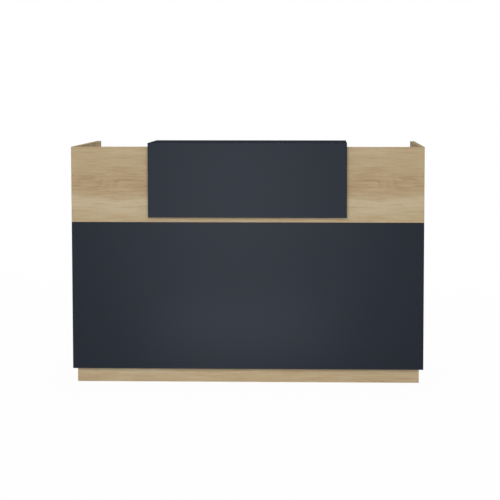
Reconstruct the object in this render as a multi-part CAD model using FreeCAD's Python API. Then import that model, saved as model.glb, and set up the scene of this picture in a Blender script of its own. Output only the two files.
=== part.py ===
import FreeCAD
import Part
import math
import os

# Reception desk in faced chipboard, sized in millimetres. An oak shell of two gables and an upper
# front panel stands on a recessed plinth; the lower front panel is graphite, and so are the fascia
# and the shelf of the visitor's counter. Behind them the staff side has a worktop with cable ports.
# X runs along the desk, with +X to the visitor's right. -Y is the visitor's side and +Y the staff
# side. Z is up, and the origin is on the floor under the middle of the desk's outline.

# Overall sizes
WIDTH = 1600.0
DEPTH = 800.0
HEIGHT = 1100.0
WORKTOP_HEIGHT = 740.0  # the upper and lower front panels meet at this height
SHELL_BOTTOM = 68.0  # underside of the gables and of the lower front panel
FLOOR_GAP = 5.0  # plinth to floor with the feet fully screwed in

# Boards
BOARD = 18.0
GABLE = 22.0
WORKTOP = 25.0
EDGE_BAND = 1.0
WORKTOP_BAND = 2.0
BAND_ROUND = 0.8
WORKTOP_SIDE_GAP = 0.5  # worktop to each gable
WORKTOP_SETBACK = 20.0  # worktop behind the gables' rear edges

# Visitor's counter
COUNTER_WIDTH = 900.0
COUNTER_DEPTH = 380.0
FASCIA_HEIGHT = 338.0
SUPPORT_INSET = 30.0  # support panel in from the shelf's end
SUPPORT_DEPTH = 300.0

# Base
PLINTH_INSET = 19.0  # plinth in from the gables' outer faces
BASE_RAIL_WIDTH = 100.0
BASE_SETBACK = 40.0  # plinth and base rails in from the gables' rear edges

# Battens and stiffener under the worktop
BATTEN = 30.0
BATTEN_SETBACK = 50.0  # side battens in from the gables' rear edges
STIFFENER_END_GAP = 48.0  # in from the side battens
STIFFENER_FLANGE = 30.0
STIFFENER_WEB = 40.0
STIFFENER_SHEET = 3.0
STIFFENER_SETBACK = 70.0  # in from the worktop's rear edge

# Cable ports and tray
PORT_FROM_FRONT = 110.0  # port axis behind the front panels
PORT_HOLE_RADIUS = 40.0
PORT_FIT = 0.2
PORT_WALL = 2.0
PORT_FLANGE = 6.0
PORT_FLANGE_HEIGHT = 2.5
PORT_SLEEVE_GAP = 3.0  # sleeve's end above the worktop's underside
PORT_LEDGE = 4.0
PORT_LEDGE_HEIGHT = 2.0
PORT_CAP_GAP = 0.4
PORT_CAP_HEIGHT = 3.3
PORT_NOTCH_RADIUS = 11.0
PORT_NOTCH_CENTRE = 24.0  # notch end to the cap's axis
PORT_CHAMFER = 0.8
TRAY_WIDTH = 110.0
TRAY_HEIGHT = 70.0
TRAY_FLANGE = 15.0
TRAY_SHEET = 1.5
TRAY_END_GAP = 60.0  # in from the side battens
TRAY_BEND = 2.0
SLOT_LENGTH = 30.0
SLOT_WIDTH = 8.0
SLOT_COUNT = 24

# Levelling feet
FOOT_GAP = 5.0  # socket plate to the plinth boards
FOOT_REAR_INSET = 60.0  # rear foot's axis in from the side rail's end
SOCKET_PLATE = 60.0
SOCKET_PLATE_HEIGHT = 5.0
SOCKET_RADIUS = 18.0
SOCKET_BOTTOM = 24.0  # the adjuster's collar stops here when fully screwed in
SPINDLE_RADIUS = 10.0
SPINDLE_FIT = 0.08
SPINDLE_HEADROOM = 3.0  # spindle's end below the socket plate
SPINDLE_CHAMFER = 2.0
COLLAR_RADIUS = 17.0
COLLAR_BOTTOM = 9.0
COLLAR_RIBS = 12
RIB_RADIUS = 2.0
GLIDE_RADIUS = 22.0
GLIDE_BRIM = 4.5
GLIDE_CHAMFER = 1.1
GLIDE_PIN_RADIUS = 5.0
GLIDE_PIN_HEIGHT = 14.0
GLIDE_FIT = 0.08

# Screws, cam fittings and dowels
SCREW_RADIUS = 2.0
SCREW_BITE = 12.0  # thread in the last board
SCREW_HEAD_RADIUS = 4.0
SCREW_HEAD_HEIGHT = 2.4
SCREW_HEAD_CHAMFER = 0.9
SCREW_POINT = 3.0
RECESS_LENGTH = 4.4
RECESS_WIDTH = 0.9
RECESS_DEPTH = 1.3
BORE_FIT = 0.05
BORE_PAST = 0.5
CAM_RADIUS = 7.5
CAM_FROM_JOINT = 34.0
CAM_PAST_AXIS = 4.5
CAM_MOUTH_RADIUS = 3.9
CAM_CAP_RADIUS = 8.5
CAM_CAP_HEIGHT = 1.2
BOLT_THREAD_RADIUS = 2.5
BOLT_THREAD = 11.0
BOLT_RADIUS = 3.5
BOLT_SHANK = 24.0
BOLT_NECK_RADIUS = 2.2
BOLT_NECK = 29.0
BOLT_END = 35.0
BOLT_BORE_RADIUS = 4.0
DOWEL_RADIUS = 4.0
DOWEL_SHORT = 12.0  # into a board's face
DOWEL_LONG = 20.0  # into a board's edge
DOWEL_CHAMFER = 0.8
ANGLE_LEG = 30.0
ANGLE_LENGTH = 40.0
ANGLE_SHEET = 2.5
ANGLE_BEND = 2.0
ANGLE_SCREW_REACH = 18.0  # screw from the fold

# Rows of fixings: how many, and how far the end ones stand in from the ends of their row
UPPER_CAM_ROWS = 2
LOWER_CAM_ROWS = 3
CAM_ROW_INSET = 60.0
SUPPORT_FIXINGS = 2
SUPPORT_CAM_INSET = 90.0
SUPPORT_FIXING_INSET = 80.0
SEAM_DOWELS = 4
SEAM_DOWEL_INSET = 150.0
SHELF_DOWELS = 4
SHELF_DOWEL_INSET = 60.0
SIDE_PLINTH_DOWELS = 3
FRONT_PLINTH_DOWELS = 4
PLINTH_DOWEL_INSET = 120.0
RAIL_DOWELS = 2
RAIL_DOWEL_INSET = 30.0
FASCIA_SCREW_ROWS = 2
FASCIA_SCREW_COLUMNS = 4
FASCIA_ROW_INSET = 40.0
FASCIA_COLUMN_INSET = 45.0
SIDE_BATTEN_SCREWS = 6
SIDE_BATTEN_INSET = 45.0
FRONT_BATTEN_SCREWS = 9
FRONT_BATTEN_INSET = 70.0
SIDE_ANGLES = 2
SIDE_ANGLE_INSET = 180.0
FRONT_ANGLES = 3
FRONT_ANGLE_INSET = 200.0
STIFFENER_SCREWS = 6
STIFFENER_SCREW_INSET = 60.0
TRAY_SCREWS = 4
TRAY_SCREW_INSET = 40.0

# Planes shared by the pieces
SIDE = WIDTH / 2
INNER = SIDE - GABLE
FASCIA_FRONT = -DEPTH / 2
FRONT = FASCIA_FRONT + BOARD
PANEL_BACK = FRONT + BOARD
REAR = DEPTH / 2
SHELF_BOTTOM = HEIGHT - BOARD
WORKTOP_BOTTOM = WORKTOP_HEIGHT - WORKTOP
BATTEN_BOTTOM = WORKTOP_BOTTOM - BATTEN
FASCIA_BOTTOM = HEIGHT - FASCIA_HEIGHT
COUNTER_SIDE = COUNTER_WIDTH / 2
SUPPORT_OUTER = COUNTER_SIDE - SUPPORT_INSET
SUPPORT_INNER = SUPPORT_OUTER - BOARD
SUPPORT_BACK = PANEL_BACK + SUPPORT_DEPTH
BASE_TOP = SHELL_BOTTOM + BOARD
BASE_REAR = REAR - BASE_SETBACK
BASE_INNER = INNER - BASE_RAIL_WIDTH
PLINTH_SIDE = SIDE - PLINTH_INSET
PLINTH_BACK = PANEL_BACK + BOARD
LEDGER_BACK = PANEL_BACK + BATTEN
BATTEN_REAR = REAR - BATTEN_SETBACK
BATTEN_INNER = INNER - BATTEN
STIFFENER_END = BATTEN_INNER - STIFFENER_END_GAP
STIFFENER_BACK = REAR - WORKTOP_SETBACK - STIFFENER_SETBACK
PORT_X = (SUPPORT_OUTER + INNER) / 2
PORT_Y = PANEL_BACK + PORT_FROM_FRONT
TRAY_END = BATTEN_INNER - TRAY_END_GAP
SOCKET_PLATE_BOTTOM = SHELL_BOTTOM - SOCKET_PLATE_HEIGHT
SPINDLE_TOP = SOCKET_PLATE_BOTTOM - SPINDLE_HEADROOM
FOOT_X = PLINTH_SIDE - BOARD - FOOT_GAP - SOCKET_PLATE / 2
FOOT_FRONT = PLINTH_BACK + FOOT_GAP + SOCKET_PLATE / 2
FOOT_REAR = BASE_REAR - FOOT_REAR_INSET
FEET = {
    "front_left": (-FOOT_X, FOOT_FRONT),
    "front_right": (FOOT_X, FOOT_FRONT),
    "rear_left": (-FOOT_X, FOOT_REAR),
    "rear_right": (FOOT_X, FOOT_REAR),
}

X_AXIS = FreeCAD.Vector(1, 0, 0)
Y_AXIS = FreeCAD.Vector(0, 1, 0)
Z_AXIS = FreeCAD.Vector(0, 0, 1)
ORIGIN = FreeCAD.Vector(0, 0, 0)


def vec(x, y, z):
    return FreeCAD.Vector(x, y, z)


def slab(x, y, z):
    """A box from three (low, high) pairs."""
    sizes = [high - low for low, high in (x, y, z)]
    return Part.makeBox(*sizes, vec(x[0], y[0], z[0]))


def rod(radius, start, axis, length):
    return Part.makeCylinder(radius, length, start, axis)


def mirrored(shape):
    """The same piece on the other end of the desk."""
    return shape.mirror(ORIGIN, X_AXIS)


def both(shapes):
    return shapes + [mirrored(shape) for shape in shapes]


def spread(low, high, count, inset):
    """Even places between two ends, the first and last an inset away from them."""
    step = (high - low - 2 * inset) / (count - 1)
    return [low + inset + step * i for i in range(count)]


def turned(outline, seat, axis):
    """A turned solid: (radius, height) points about an axis that starts at the seat."""
    points = [vec(radius, 0, height) for radius, height in outline]
    face = Part.Face(Part.makePolygon(points + points[:1]))
    solid = face.revolve(ORIGIN, Z_AXIS, 360)
    solid.Placement = FreeCAD.Placement(seat, FreeCAD.Rotation(Z_AXIS, axis))
    return solid


def runs_along(edge, axis):
    if edge.Curve.TypeId != "Part::GeomLine":
        return False
    return abs(edge.tangentAt(edge.FirstParameter).dot(axis)) > 0.99


def rounded_strip(spans, axis, end, thin):
    """An edge band with its two outer long corners rounded."""
    solid = slab(**spans)
    along = ({"x", "y", "z"} - {axis, thin}).pop()
    direction = {"x": X_AXIS, "y": Y_AXIS, "z": Z_AXIS}[along]
    outer = spans[axis][end]
    corners = []
    for edge in solid.Edges:
        on_face = abs(getattr(edge.CenterOfMass, axis) - outer) < BAND_ROUND / 2
        if on_face and runs_along(edge, direction):
            corners.append(edge)
    return solid.makeFillet(BAND_ROUND, corners)


def banded(x, y, z, edges, band=EDGE_BAND):
    """A board's core and its edge bands. The bands named first run the full length of their edge."""
    core = {"x": list(x), "y": list(y), "z": list(z)}
    thin = min(core, key=lambda axis: core[axis][1] - core[axis][0])
    bands = []
    for axis, sign in edges:
        end = 1 if sign == "+" else 0
        spans = {name: list(span) for name, span in core.items()}
        seam = core[axis][end] + (-band if end else band)
        spans[axis][1 - end] = seam
        core[axis][end] = seam
        bands.append(rounded_strip(spans, axis, end, thin))
    return [slab(**core)], bands


def drilled(shapes, bores):
    """Shapes with every bore that reaches them cut out."""
    result = []
    for shape in shapes:
        near = [bore for bore in bores if bore.BoundBox.intersect(shape.BoundBox)]
        result += shape.cut(near).Solids if near else [shape]
    return result


def bent(solid, axis, inner, sheet, corners):
    """Rounds the folds of a sheet: (point, is_outer) names each corner line along the axis."""
    for radius, outside in ((inner, False), (inner + sheet, True)):
        lines = [point for point, is_outer in corners if is_outer == outside]
        edges = []
        for edge in solid.Edges:
            if not runs_along(edge, axis):
                continue
            middle = edge.CenterOfMass
            flat = middle - axis * middle.dot(axis)
            if any((flat - point).Length < sheet / 4 for point in lines):
                edges.append(edge)
        solid = solid.makeFillet(radius, edges)
    return solid


def screw(seat, axis, first):
    """A pan-head screw through a first piece of a given thickness, with the bore that it sits in."""
    length = first + SCREW_BITE
    outline = [
        (0, -SCREW_HEAD_HEIGHT),
        (SCREW_HEAD_RADIUS - SCREW_HEAD_CHAMFER, -SCREW_HEAD_HEIGHT),
        (SCREW_HEAD_RADIUS, SCREW_HEAD_CHAMFER - SCREW_HEAD_HEIGHT),
        (SCREW_HEAD_RADIUS, 0),
        (SCREW_RADIUS, 0),
        (SCREW_RADIUS, length - SCREW_POINT),
        (0, length),
    ]
    solid = turned(outline, seat, axis)
    solid = solid.cut(cross_recess(seat - axis * SCREW_HEAD_HEIGHT, axis)).Solids[0]
    return solid, [rod(SCREW_RADIUS + BORE_FIT, seat, axis, length + BORE_PAST)]


def cross_recess(seat, axis):
    half = RECESS_LENGTH / 2
    thin = RECESS_WIDTH / 2
    depth = (-RECESS_DEPTH, RECESS_DEPTH)
    arms = slab((-half, half), (-thin, thin), depth).fuse(slab((-thin, thin), (-half, half), depth))
    arms.Placement = FreeCAD.Placement(seat, FreeCAD.Rotation(Z_AXIS, axis))
    return arms


def cam_fitting(joint, axis, face_normal, board):
    """A cam, its bolt and its cover cap. The bolt leaves the joint plane along the axis, in the middle
    of a board, and the cam is let into the face that the normal points out of."""
    face = joint + axis * CAM_FROM_JOINT + face_normal * (board / 2)
    depth = board / 2 + CAM_PAST_AXIS
    inward = face_normal * -1
    mouth = rod(CAM_MOUTH_RADIUS, joint, axis, BOLT_END + BORE_PAST)
    cam = rod(CAM_RADIUS - BORE_FIT, face, inward, depth)
    cam = cam.cut([mouth, cross_recess(face, inward)]).Solids[0]
    bolt_outline = [
        (0, -BOLT_THREAD),
        (BOLT_THREAD_RADIUS, -BOLT_THREAD),
        (BOLT_THREAD_RADIUS, 0),
        (BOLT_RADIUS, 0),
        (BOLT_RADIUS, BOLT_SHANK),
        (BOLT_NECK_RADIUS, BOLT_SHANK),
        (BOLT_NECK_RADIUS, BOLT_NECK),
        (BOLT_RADIUS, BOLT_NECK),
        (BOLT_RADIUS, BOLT_END),
        (0, BOLT_END),
    ]
    cap_outline = [
        (0, 0),
        (CAM_CAP_RADIUS, 0),
        (CAM_CAP_RADIUS, CAM_CAP_HEIGHT / 2),
        (CAM_CAP_RADIUS - CAM_CAP_HEIGHT / 2, CAM_CAP_HEIGHT),
        (0, CAM_CAP_HEIGHT),
    ]
    bores = [
        rod(CAM_RADIUS, face, inward, depth),
        rod(BOLT_BORE_RADIUS, joint, axis, CAM_FROM_JOINT),
        rod(BOLT_THREAD_RADIUS + BORE_FIT, joint, axis * -1, BOLT_THREAD + BORE_PAST),
    ]
    return cam, turned(bolt_outline, joint, axis), turned(cap_outline, face, face_normal), bores


def dowel(joint, axis, back=DOWEL_SHORT, ahead=DOWEL_LONG):
    """A wooden dowel across a joint plane, with its bore."""
    outline = [
        (0, -back),
        (DOWEL_RADIUS - DOWEL_CHAMFER, -back),
        (DOWEL_RADIUS, DOWEL_CHAMFER - back),
        (DOWEL_RADIUS, ahead - DOWEL_CHAMFER),
        (DOWEL_RADIUS - DOWEL_CHAMFER, ahead),
        (0, ahead),
    ]
    start = joint - axis * (back + BORE_PAST)
    bore = rod(DOWEL_RADIUS + BORE_FIT, start, axis, back + ahead + 2 * BORE_PAST)
    return turned(outline, joint, axis), [bore]


def cam_fittings():
    """All cam fittings of the left end: front panels to gable, and the counter's support panel."""
    gable_axis = -SIDE + GABLE / 2
    support_axis = -SUPPORT_OUTER + BOARD / 2
    rows = spread(WORKTOP_HEIGHT, SHELF_BOTTOM, UPPER_CAM_ROWS, CAM_ROW_INSET)
    rows += spread(BASE_TOP, BATTEN_BOTTOM, LOWER_CAM_ROWS, CAM_ROW_INSET)
    fittings = [cam_fitting(vec(gable_axis, PANEL_BACK, z), Y_AXIS, X_AXIS, GABLE) for z in rows]
    for z in spread(WORKTOP_HEIGHT, SHELF_BOTTOM, SUPPORT_FIXINGS, SUPPORT_CAM_INSET):
        joint = vec(support_axis, PANEL_BACK, z)
        fittings.append(cam_fitting(joint, Y_AXIS, X_AXIS, BOARD))
    for y in spread(PANEL_BACK, SUPPORT_BACK, SUPPORT_FIXINGS, SUPPORT_FIXING_INSET):
        joint = vec(support_axis, y, SHELF_BOTTOM)
        fittings.append(cam_fitting(joint, Z_AXIS * -1, X_AXIS, BOARD))
    return fittings


def seam_dowels():
    """Dowels that align the two front panels with each other."""
    y = (FRONT + PANEL_BACK) / 2
    columns = spread(-SIDE, SIDE, SEAM_DOWELS, SEAM_DOWEL_INSET)
    return [dowel(vec(x, y, WORKTOP_HEIGHT), Z_AXIS, DOWEL_LONG) for x in columns]


def board_dowels():
    """Dowels from a board's face into a board's edge, in the counter and in the base."""
    shelf_z = HEIGHT - BOARD / 2
    support_x = SUPPORT_OUTER - BOARD / 2
    plinth_x = (PLINTH_SIDE - BOARD + INNER) / 2
    plinth_y = (PANEL_BACK + PLINTH_BACK) / 2
    rail_z = (SHELL_BOTTOM + BASE_TOP) / 2
    rail_back = PANEL_BACK + BASE_RAIL_WIDTH
    down = Z_AXIS * -1
    found = []
    for x in spread(-COUNTER_SIDE, COUNTER_SIDE, SHELF_DOWELS, SHELF_DOWEL_INSET):
        found.append(dowel(vec(x, FRONT, shelf_z), Y_AXIS))
    for x in spread(-BASE_INNER, BASE_INNER, FRONT_PLINTH_DOWELS, PLINTH_DOWEL_INSET):
        found.append(dowel(vec(x, plinth_y, SHELL_BOTTOM), down))
    for end in (-1, 1):
        for y in spread(PANEL_BACK, SUPPORT_BACK, SUPPORT_FIXINGS, SUPPORT_FIXING_INSET):
            found.append(dowel(vec(end * support_x, y, WORKTOP_HEIGHT), Z_AXIS))
        for y in spread(PLINTH_BACK, BASE_REAR, SIDE_PLINTH_DOWELS, PLINTH_DOWEL_INSET):
            found.append(dowel(vec(end * plinth_x, y, SHELL_BOTTOM), down))
        for y in spread(PANEL_BACK, rail_back, RAIL_DOWELS, RAIL_DOWEL_INSET):
            found.append(dowel(vec(end * BASE_INNER, y, rail_z), X_AXIS * -end))
    return found


def fascia_screws():
    rows = spread(FASCIA_BOTTOM, SHELF_BOTTOM, FASCIA_SCREW_ROWS, FASCIA_ROW_INSET)
    columns = spread(-SUPPORT_INNER, SUPPORT_INNER, FASCIA_SCREW_COLUMNS, FASCIA_COLUMN_INSET)
    return [screw(vec(x, PANEL_BACK, z), Y_AXIS * -1, BOARD) for x in columns for z in rows]


def batten_screws():
    """Screws by turns out into the gable or front panel and up into the worktop."""
    middle = WORKTOP_BOTTOM - BATTEN / 2
    side_x = INNER - BATTEN / 2
    front_y = PANEL_BACK + BATTEN / 2
    side_places = spread(LEDGER_BACK, BATTEN_REAR, SIDE_BATTEN_SCREWS, SIDE_BATTEN_INSET)
    front_places = spread(-INNER, INNER, FRONT_BATTEN_SCREWS, FRONT_BATTEN_INSET)
    found = []
    for end in (-1, 1):
        for y in side_places[0::2]:
            found.append(screw(vec(end * BATTEN_INNER, y, middle), X_AXIS * end, BATTEN))
        for y in side_places[1::2]:
            found.append(screw(vec(end * side_x, y, BATTEN_BOTTOM), Z_AXIS, BATTEN))
    for x in front_places[0::2]:
        found.append(screw(vec(x, LEDGER_BACK, middle), Y_AXIS * -1, BATTEN))
    for x in front_places[1::2]:
        found.append(screw(vec(x, front_y, BATTEN_BOTTOM), Z_AXIS, BATTEN))
    return found


def angle_screws():
    found = []
    for corner, along in base_angle_places():
        inward = along.cross(Z_AXIS)
        for shift in (-ANGLE_LENGTH / 4, ANGLE_LENGTH / 4):
            spot = corner + along * shift
            on_wall = spot + inward * ANGLE_SHEET + Z_AXIS * ANGLE_SCREW_REACH
            on_rail = spot + inward * ANGLE_SCREW_REACH + Z_AXIS * ANGLE_SHEET
            found.append(screw(on_wall, inward * -1, ANGLE_SHEET))
            found.append(screw(on_rail, Z_AXIS * -1, ANGLE_SHEET))
    return found


def stiffener_screws():
    seat_y = STIFFENER_BACK - STIFFENER_FLANGE / 2
    seat_z = WORKTOP_BOTTOM - STIFFENER_SHEET
    places = spread(-STIFFENER_END, STIFFENER_END, STIFFENER_SCREWS, STIFFENER_SCREW_INSET)
    return [screw(vec(x, seat_y, seat_z), Z_AXIS, STIFFENER_SHEET) for x in places]


def tray_screws():
    reach = (TRAY_WIDTH + TRAY_FLANGE) / 2
    seat_z = WORKTOP_BOTTOM - TRAY_SHEET
    found = []
    for x in spread(-TRAY_END, TRAY_END, TRAY_SCREWS, TRAY_SCREW_INSET):
        for y in (PORT_Y - reach, PORT_Y + reach):
            found.append(screw(vec(x, y, seat_z), Z_AXIS, TRAY_SHEET))
    return found


def foot_screws():
    corner = SOCKET_PLATE / 2 - 2 * SCREW_HEAD_RADIUS
    found = []
    for x, y in FEET.values():
        for dx in (-corner, corner):
            for dy in (-corner, corner):
                seat = vec(x + dx, y + dy, SOCKET_PLATE_BOTTOM)
                found.append(screw(seat, Z_AXIS, SOCKET_PLATE_HEIGHT))
    return found


def base_angle_places():
    """Where each steel angle's fold lies on a base rail's top, and which way the fold runs."""
    places = []
    for y in spread(PANEL_BACK, BASE_REAR, SIDE_ANGLES, SIDE_ANGLE_INSET):
        places.append((vec(-INNER, y, BASE_TOP), Y_AXIS))
        places.append((vec(INNER, y, BASE_TOP), Y_AXIS * -1))
    for x in spread(-BASE_INNER, BASE_INNER, FRONT_ANGLES, FRONT_ANGLE_INSET):
        places.append((vec(x, PANEL_BACK, BASE_TOP), X_AXIS * -1))
    return places


def base_angle(corner, along):
    """A folded steel angle between a wall board and a base rail."""
    inward = along.cross(Z_AXIS)
    outline = [
        (0, 0),
        (ANGLE_LEG, 0),
        (ANGLE_LEG, ANGLE_SHEET),
        (ANGLE_SHEET, ANGLE_SHEET),
        (ANGLE_SHEET, ANGLE_LEG),
        (0, ANGLE_LEG),
    ]
    points = [inward * out + Z_AXIS * up for out, up in outline]
    solid = Part.Face(Part.makePolygon(points + points[:1])).extrude(along * ANGLE_LENGTH)
    folds = [(points[0], True), (points[3], False)]
    solid = bent(solid, along, ANGLE_BEND, ANGLE_SHEET, folds)
    solid.translate(corner - along * (ANGLE_LENGTH / 2))
    return solid


def base_angles():
    return {"base_angles": [base_angle(*place) for place in base_angle_places()]}


def front_boards():
    across = (-SIDE, SIDE)
    depth = (FRONT, PANEL_BACK)
    edges = ("z+", "z-", "x-", "x+")
    upper = banded(across, depth, (WORKTOP_HEIGHT, SHELF_BOTTOM), edges)
    lower = banded(across, depth, (SHELL_BOTTOM, WORKTOP_HEIGHT), edges)
    return {
        "upper_front_panel": upper[0],
        "upper_front_edging": upper[1],
        "lower_front_panel": lower[0],
        "lower_front_edging": lower[1],
    }


def counter_boards():
    across = (-COUNTER_SIDE, COUNTER_SIDE)
    fascia_edges = ("z+", "z-", "x-", "x+")
    fascia = banded(across, (FASCIA_FRONT, FRONT), (FASCIA_BOTTOM, HEIGHT), fascia_edges)
    shelf_depth = (FRONT, FASCIA_FRONT + COUNTER_DEPTH)
    shelf = banded(across, shelf_depth, (SHELF_BOTTOM, HEIGHT), ("x-", "x+", "y+"))
    support_depth = (PANEL_BACK, SUPPORT_BACK)
    support_rise = (WORKTOP_HEIGHT, SHELF_BOTTOM)
    support = banded((-SUPPORT_OUTER, -SUPPORT_INNER), support_depth, support_rise, ("y+",))
    return {
        "counter_fascia": fascia[0],
        "counter_fascia_edging": fascia[1],
        "counter_shelf": shelf[0],
        "counter_shelf_edging": shelf[1],
        "left_counter_support": support[0],
        "left_support_edging": support[1],
        "right_counter_support": [mirrored(shape) for shape in support[0]],
        "right_support_edging": [mirrored(shape) for shape in support[1]],
    }


def gable_boards():
    rise = (SHELL_BOTTOM, SHELF_BOTTOM)
    left = banded((-SIDE, -INNER), (PANEL_BACK, REAR), rise, ("z+", "z-", "y+"))
    return {
        "left_gable": left[0],
        "left_gable_edging": left[1],
        "right_gable": [mirrored(shape) for shape in left[0]],
        "right_gable_edging": [mirrored(shape) for shape in left[1]],
    }


def worktop_boards():
    reach = INNER - WORKTOP_SIDE_GAP
    depth = (PANEL_BACK, REAR - WORKTOP_SETBACK)
    rise = (WORKTOP_BOTTOM, WORKTOP_HEIGHT)
    core, band = banded((-reach, reach), depth, rise, ("y+",), WORKTOP_BAND)
    under = (BATTEN_BOTTOM, WORKTOP_BOTTOM)
    side = slab((-INNER, -INNER + BATTEN), (LEDGER_BACK, BATTEN_REAR), under)
    return {
        "worktop": core,
        "worktop_edging": band,
        "worktop_batten_front": [slab((-INNER, INNER), (PANEL_BACK, LEDGER_BACK), under)],
        "worktop_batten_left": [side],
        "worktop_batten_right": [mirrored(side)],
    }


def base_boards():
    level = (SHELL_BOTTOM, BASE_TOP)
    side_depth = (PANEL_BACK, BASE_REAR)
    side = banded((-INNER, -BASE_INNER), side_depth, level, ("y+",))
    front_depth = (PANEL_BACK, PANEL_BACK + BASE_RAIL_WIDTH)
    front = banded((-BASE_INNER, BASE_INNER), front_depth, level, ("y+",))
    skirt = (FLOOR_GAP, SHELL_BOTTOM)
    kick = banded((-PLINTH_SIDE, PLINTH_SIDE), (PANEL_BACK, PLINTH_BACK), skirt, ("x-", "x+"))
    kick_side = (-PLINTH_SIDE, -PLINTH_SIDE + BOARD)
    wing = banded(kick_side, (PLINTH_BACK, BASE_REAR), skirt, ("y+",))
    return {
        "base_rail_left": side[0],
        "base_rail_right": [mirrored(shape) for shape in side[0]],
        "base_rail_front": front[0],
        "base_rail_edging": both(side[1]) + front[1],
        "plinth_front": kick[0],
        "plinth_left": wing[0],
        "plinth_right": [mirrored(shape) for shape in wing[0]],
        "plinth_edging": kick[1] + both(wing[1]),
    }


def stiffener_rail():
    """A folded steel angle that stops the worktop's free edge from sagging."""
    back = STIFFENER_BACK
    top = WORKTOP_BOTTOM
    outline = [
        (back, top),
        (back - STIFFENER_FLANGE, top),
        (back - STIFFENER_FLANGE, top - STIFFENER_SHEET),
        (back - STIFFENER_SHEET, top - STIFFENER_SHEET),
        (back - STIFFENER_SHEET, top - STIFFENER_WEB),
        (back, top - STIFFENER_WEB),
    ]
    points = [vec(0, y, z) for y, z in outline]
    solid = Part.Face(Part.makePolygon(points + points[:1])).extrude(X_AXIS * (2 * STIFFENER_END))
    folds = [(points[0], True), (points[3], False)]
    solid = bent(solid, X_AXIS, ANGLE_BEND, STIFFENER_SHEET, folds)
    solid.translate(X_AXIS * -STIFFENER_END)
    return {"stiffener_rail": [solid]}


def tie_slot(x, bottom):
    """A long round-ended slot through the tray's floor."""
    across = (PORT_Y - SLOT_WIDTH / 2, PORT_Y + SLOT_WIDTH / 2)
    ends = (x - (SLOT_LENGTH - SLOT_WIDTH) / 2, x + (SLOT_LENGTH - SLOT_WIDTH) / 2)
    body = slab(ends, across, (bottom, bottom + TRAY_SHEET))
    for end in ends:
        body = body.fuse(rod(SLOT_WIDTH / 2, vec(end, PORT_Y, bottom), Z_AXIS, TRAY_SHEET))
    return body


def cable_tray():
    """A folded steel trough under the worktop, open at both ends, with slots for cable ties."""
    wall = TRAY_WIDTH / 2
    lip = wall + TRAY_FLANGE
    top = WORKTOP_BOTTOM
    bottom = WORKTOP_BOTTOM - TRAY_HEIGHT
    sheet = TRAY_SHEET
    half = [
        (-lip, top),
        (-lip, top - sheet),
        (-wall, top - sheet),
        (-wall, bottom),
    ]
    inner = [(-wall + sheet, bottom + sheet), (-wall + sheet, top)]
    outline = half + [(-y, z) for y, z in reversed(half)]
    outline += [(-y, z) for y, z in reversed(inner)] + inner
    points = [vec(0, PORT_Y + y, z) for y, z in outline]
    solid = Part.Face(Part.makePolygon(points + points[:1])).extrude(X_AXIS * (2 * TRAY_END))
    folds = []
    for side in (-1, 1):
        folds += [
            (vec(0, PORT_Y + side * wall, top - sheet), False),
            (vec(0, PORT_Y + side * (wall - sheet), top), True),
            (vec(0, PORT_Y + side * wall, bottom), True),
            (vec(0, PORT_Y + side * (wall - sheet), bottom + sheet), False),
        ]
    solid = bent(solid, X_AXIS, TRAY_BEND, sheet, folds)
    solid.translate(X_AXIS * -TRAY_END)
    places = spread(-TRAY_END, TRAY_END, SLOT_COUNT, SLOT_LENGTH)
    return {"cable_tray": solid.cut([tie_slot(x, bottom) for x in places]).Solids}


def cable_port():
    """The left cable port: a flanged liner, and a cap with a cable notch that turns on its ledge."""
    seat = vec(-PORT_X, PORT_Y, WORKTOP_HEIGHT)
    sleeve = PORT_HOLE_RADIUS - PORT_FIT
    sleeve_end = PORT_SLEEVE_GAP - WORKTOP
    bore = sleeve - PORT_WALL
    flange = PORT_HOLE_RADIUS + PORT_FLANGE
    ledge_top = PORT_FLANGE_HEIGHT - PORT_CAP_HEIGHT
    ledge_bottom = ledge_top - PORT_LEDGE_HEIGHT
    liner_outline = [
        (sleeve, sleeve_end),
        (sleeve, 0),
        (flange, 0),
        (flange, PORT_FLANGE_HEIGHT - PORT_CHAMFER),
        (flange - PORT_CHAMFER, PORT_FLANGE_HEIGHT),
        (bore, PORT_FLANGE_HEIGHT),
        (bore, ledge_top),
        (bore - PORT_LEDGE, ledge_top),
        (bore - PORT_LEDGE, ledge_bottom),
        (bore, ledge_bottom - PORT_LEDGE),
        (bore, sleeve_end),
    ]
    rim = bore - PORT_CAP_GAP
    cap_outline = [
        (0, ledge_top),
        (rim, ledge_top),
        (rim, PORT_FLANGE_HEIGHT - PORT_CHAMFER),
        (rim - PORT_CHAMFER, PORT_FLANGE_HEIGHT),
        (0, PORT_FLANGE_HEIGHT),
    ]
    cap = turned(cap_outline, seat, Z_AXIS)
    through = (WORKTOP_BOTTOM, HEIGHT)
    notch_y = PORT_Y - PORT_NOTCH_CENTRE
    notch_x = (-PORT_X - PORT_NOTCH_RADIUS, -PORT_X + PORT_NOTCH_RADIUS)
    notch_end = vec(-PORT_X, notch_y, WORKTOP_BOTTOM)
    notch = slab(notch_x, (PORT_Y - flange, notch_y), through)
    notch = notch.fuse(rod(PORT_NOTCH_RADIUS, notch_end, Z_AXIS, HEIGHT - WORKTOP_BOTTOM))
    return turned(liner_outline, seat, Z_AXIS), cap.cut(notch).Solids[0]


def cable_ports():
    liner, cap = cable_port()
    return {
        "left_port_liner": [liner],
        "right_port_liner": [mirrored(liner)],
        "left_port_cap": [cap],
        "right_port_cap": [mirrored(cap)],
    }


def port_bores():
    hole = rod(PORT_HOLE_RADIUS, vec(-PORT_X, PORT_Y, WORKTOP_BOTTOM), Z_AXIS, WORKTOP)
    return both([hole])


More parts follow.
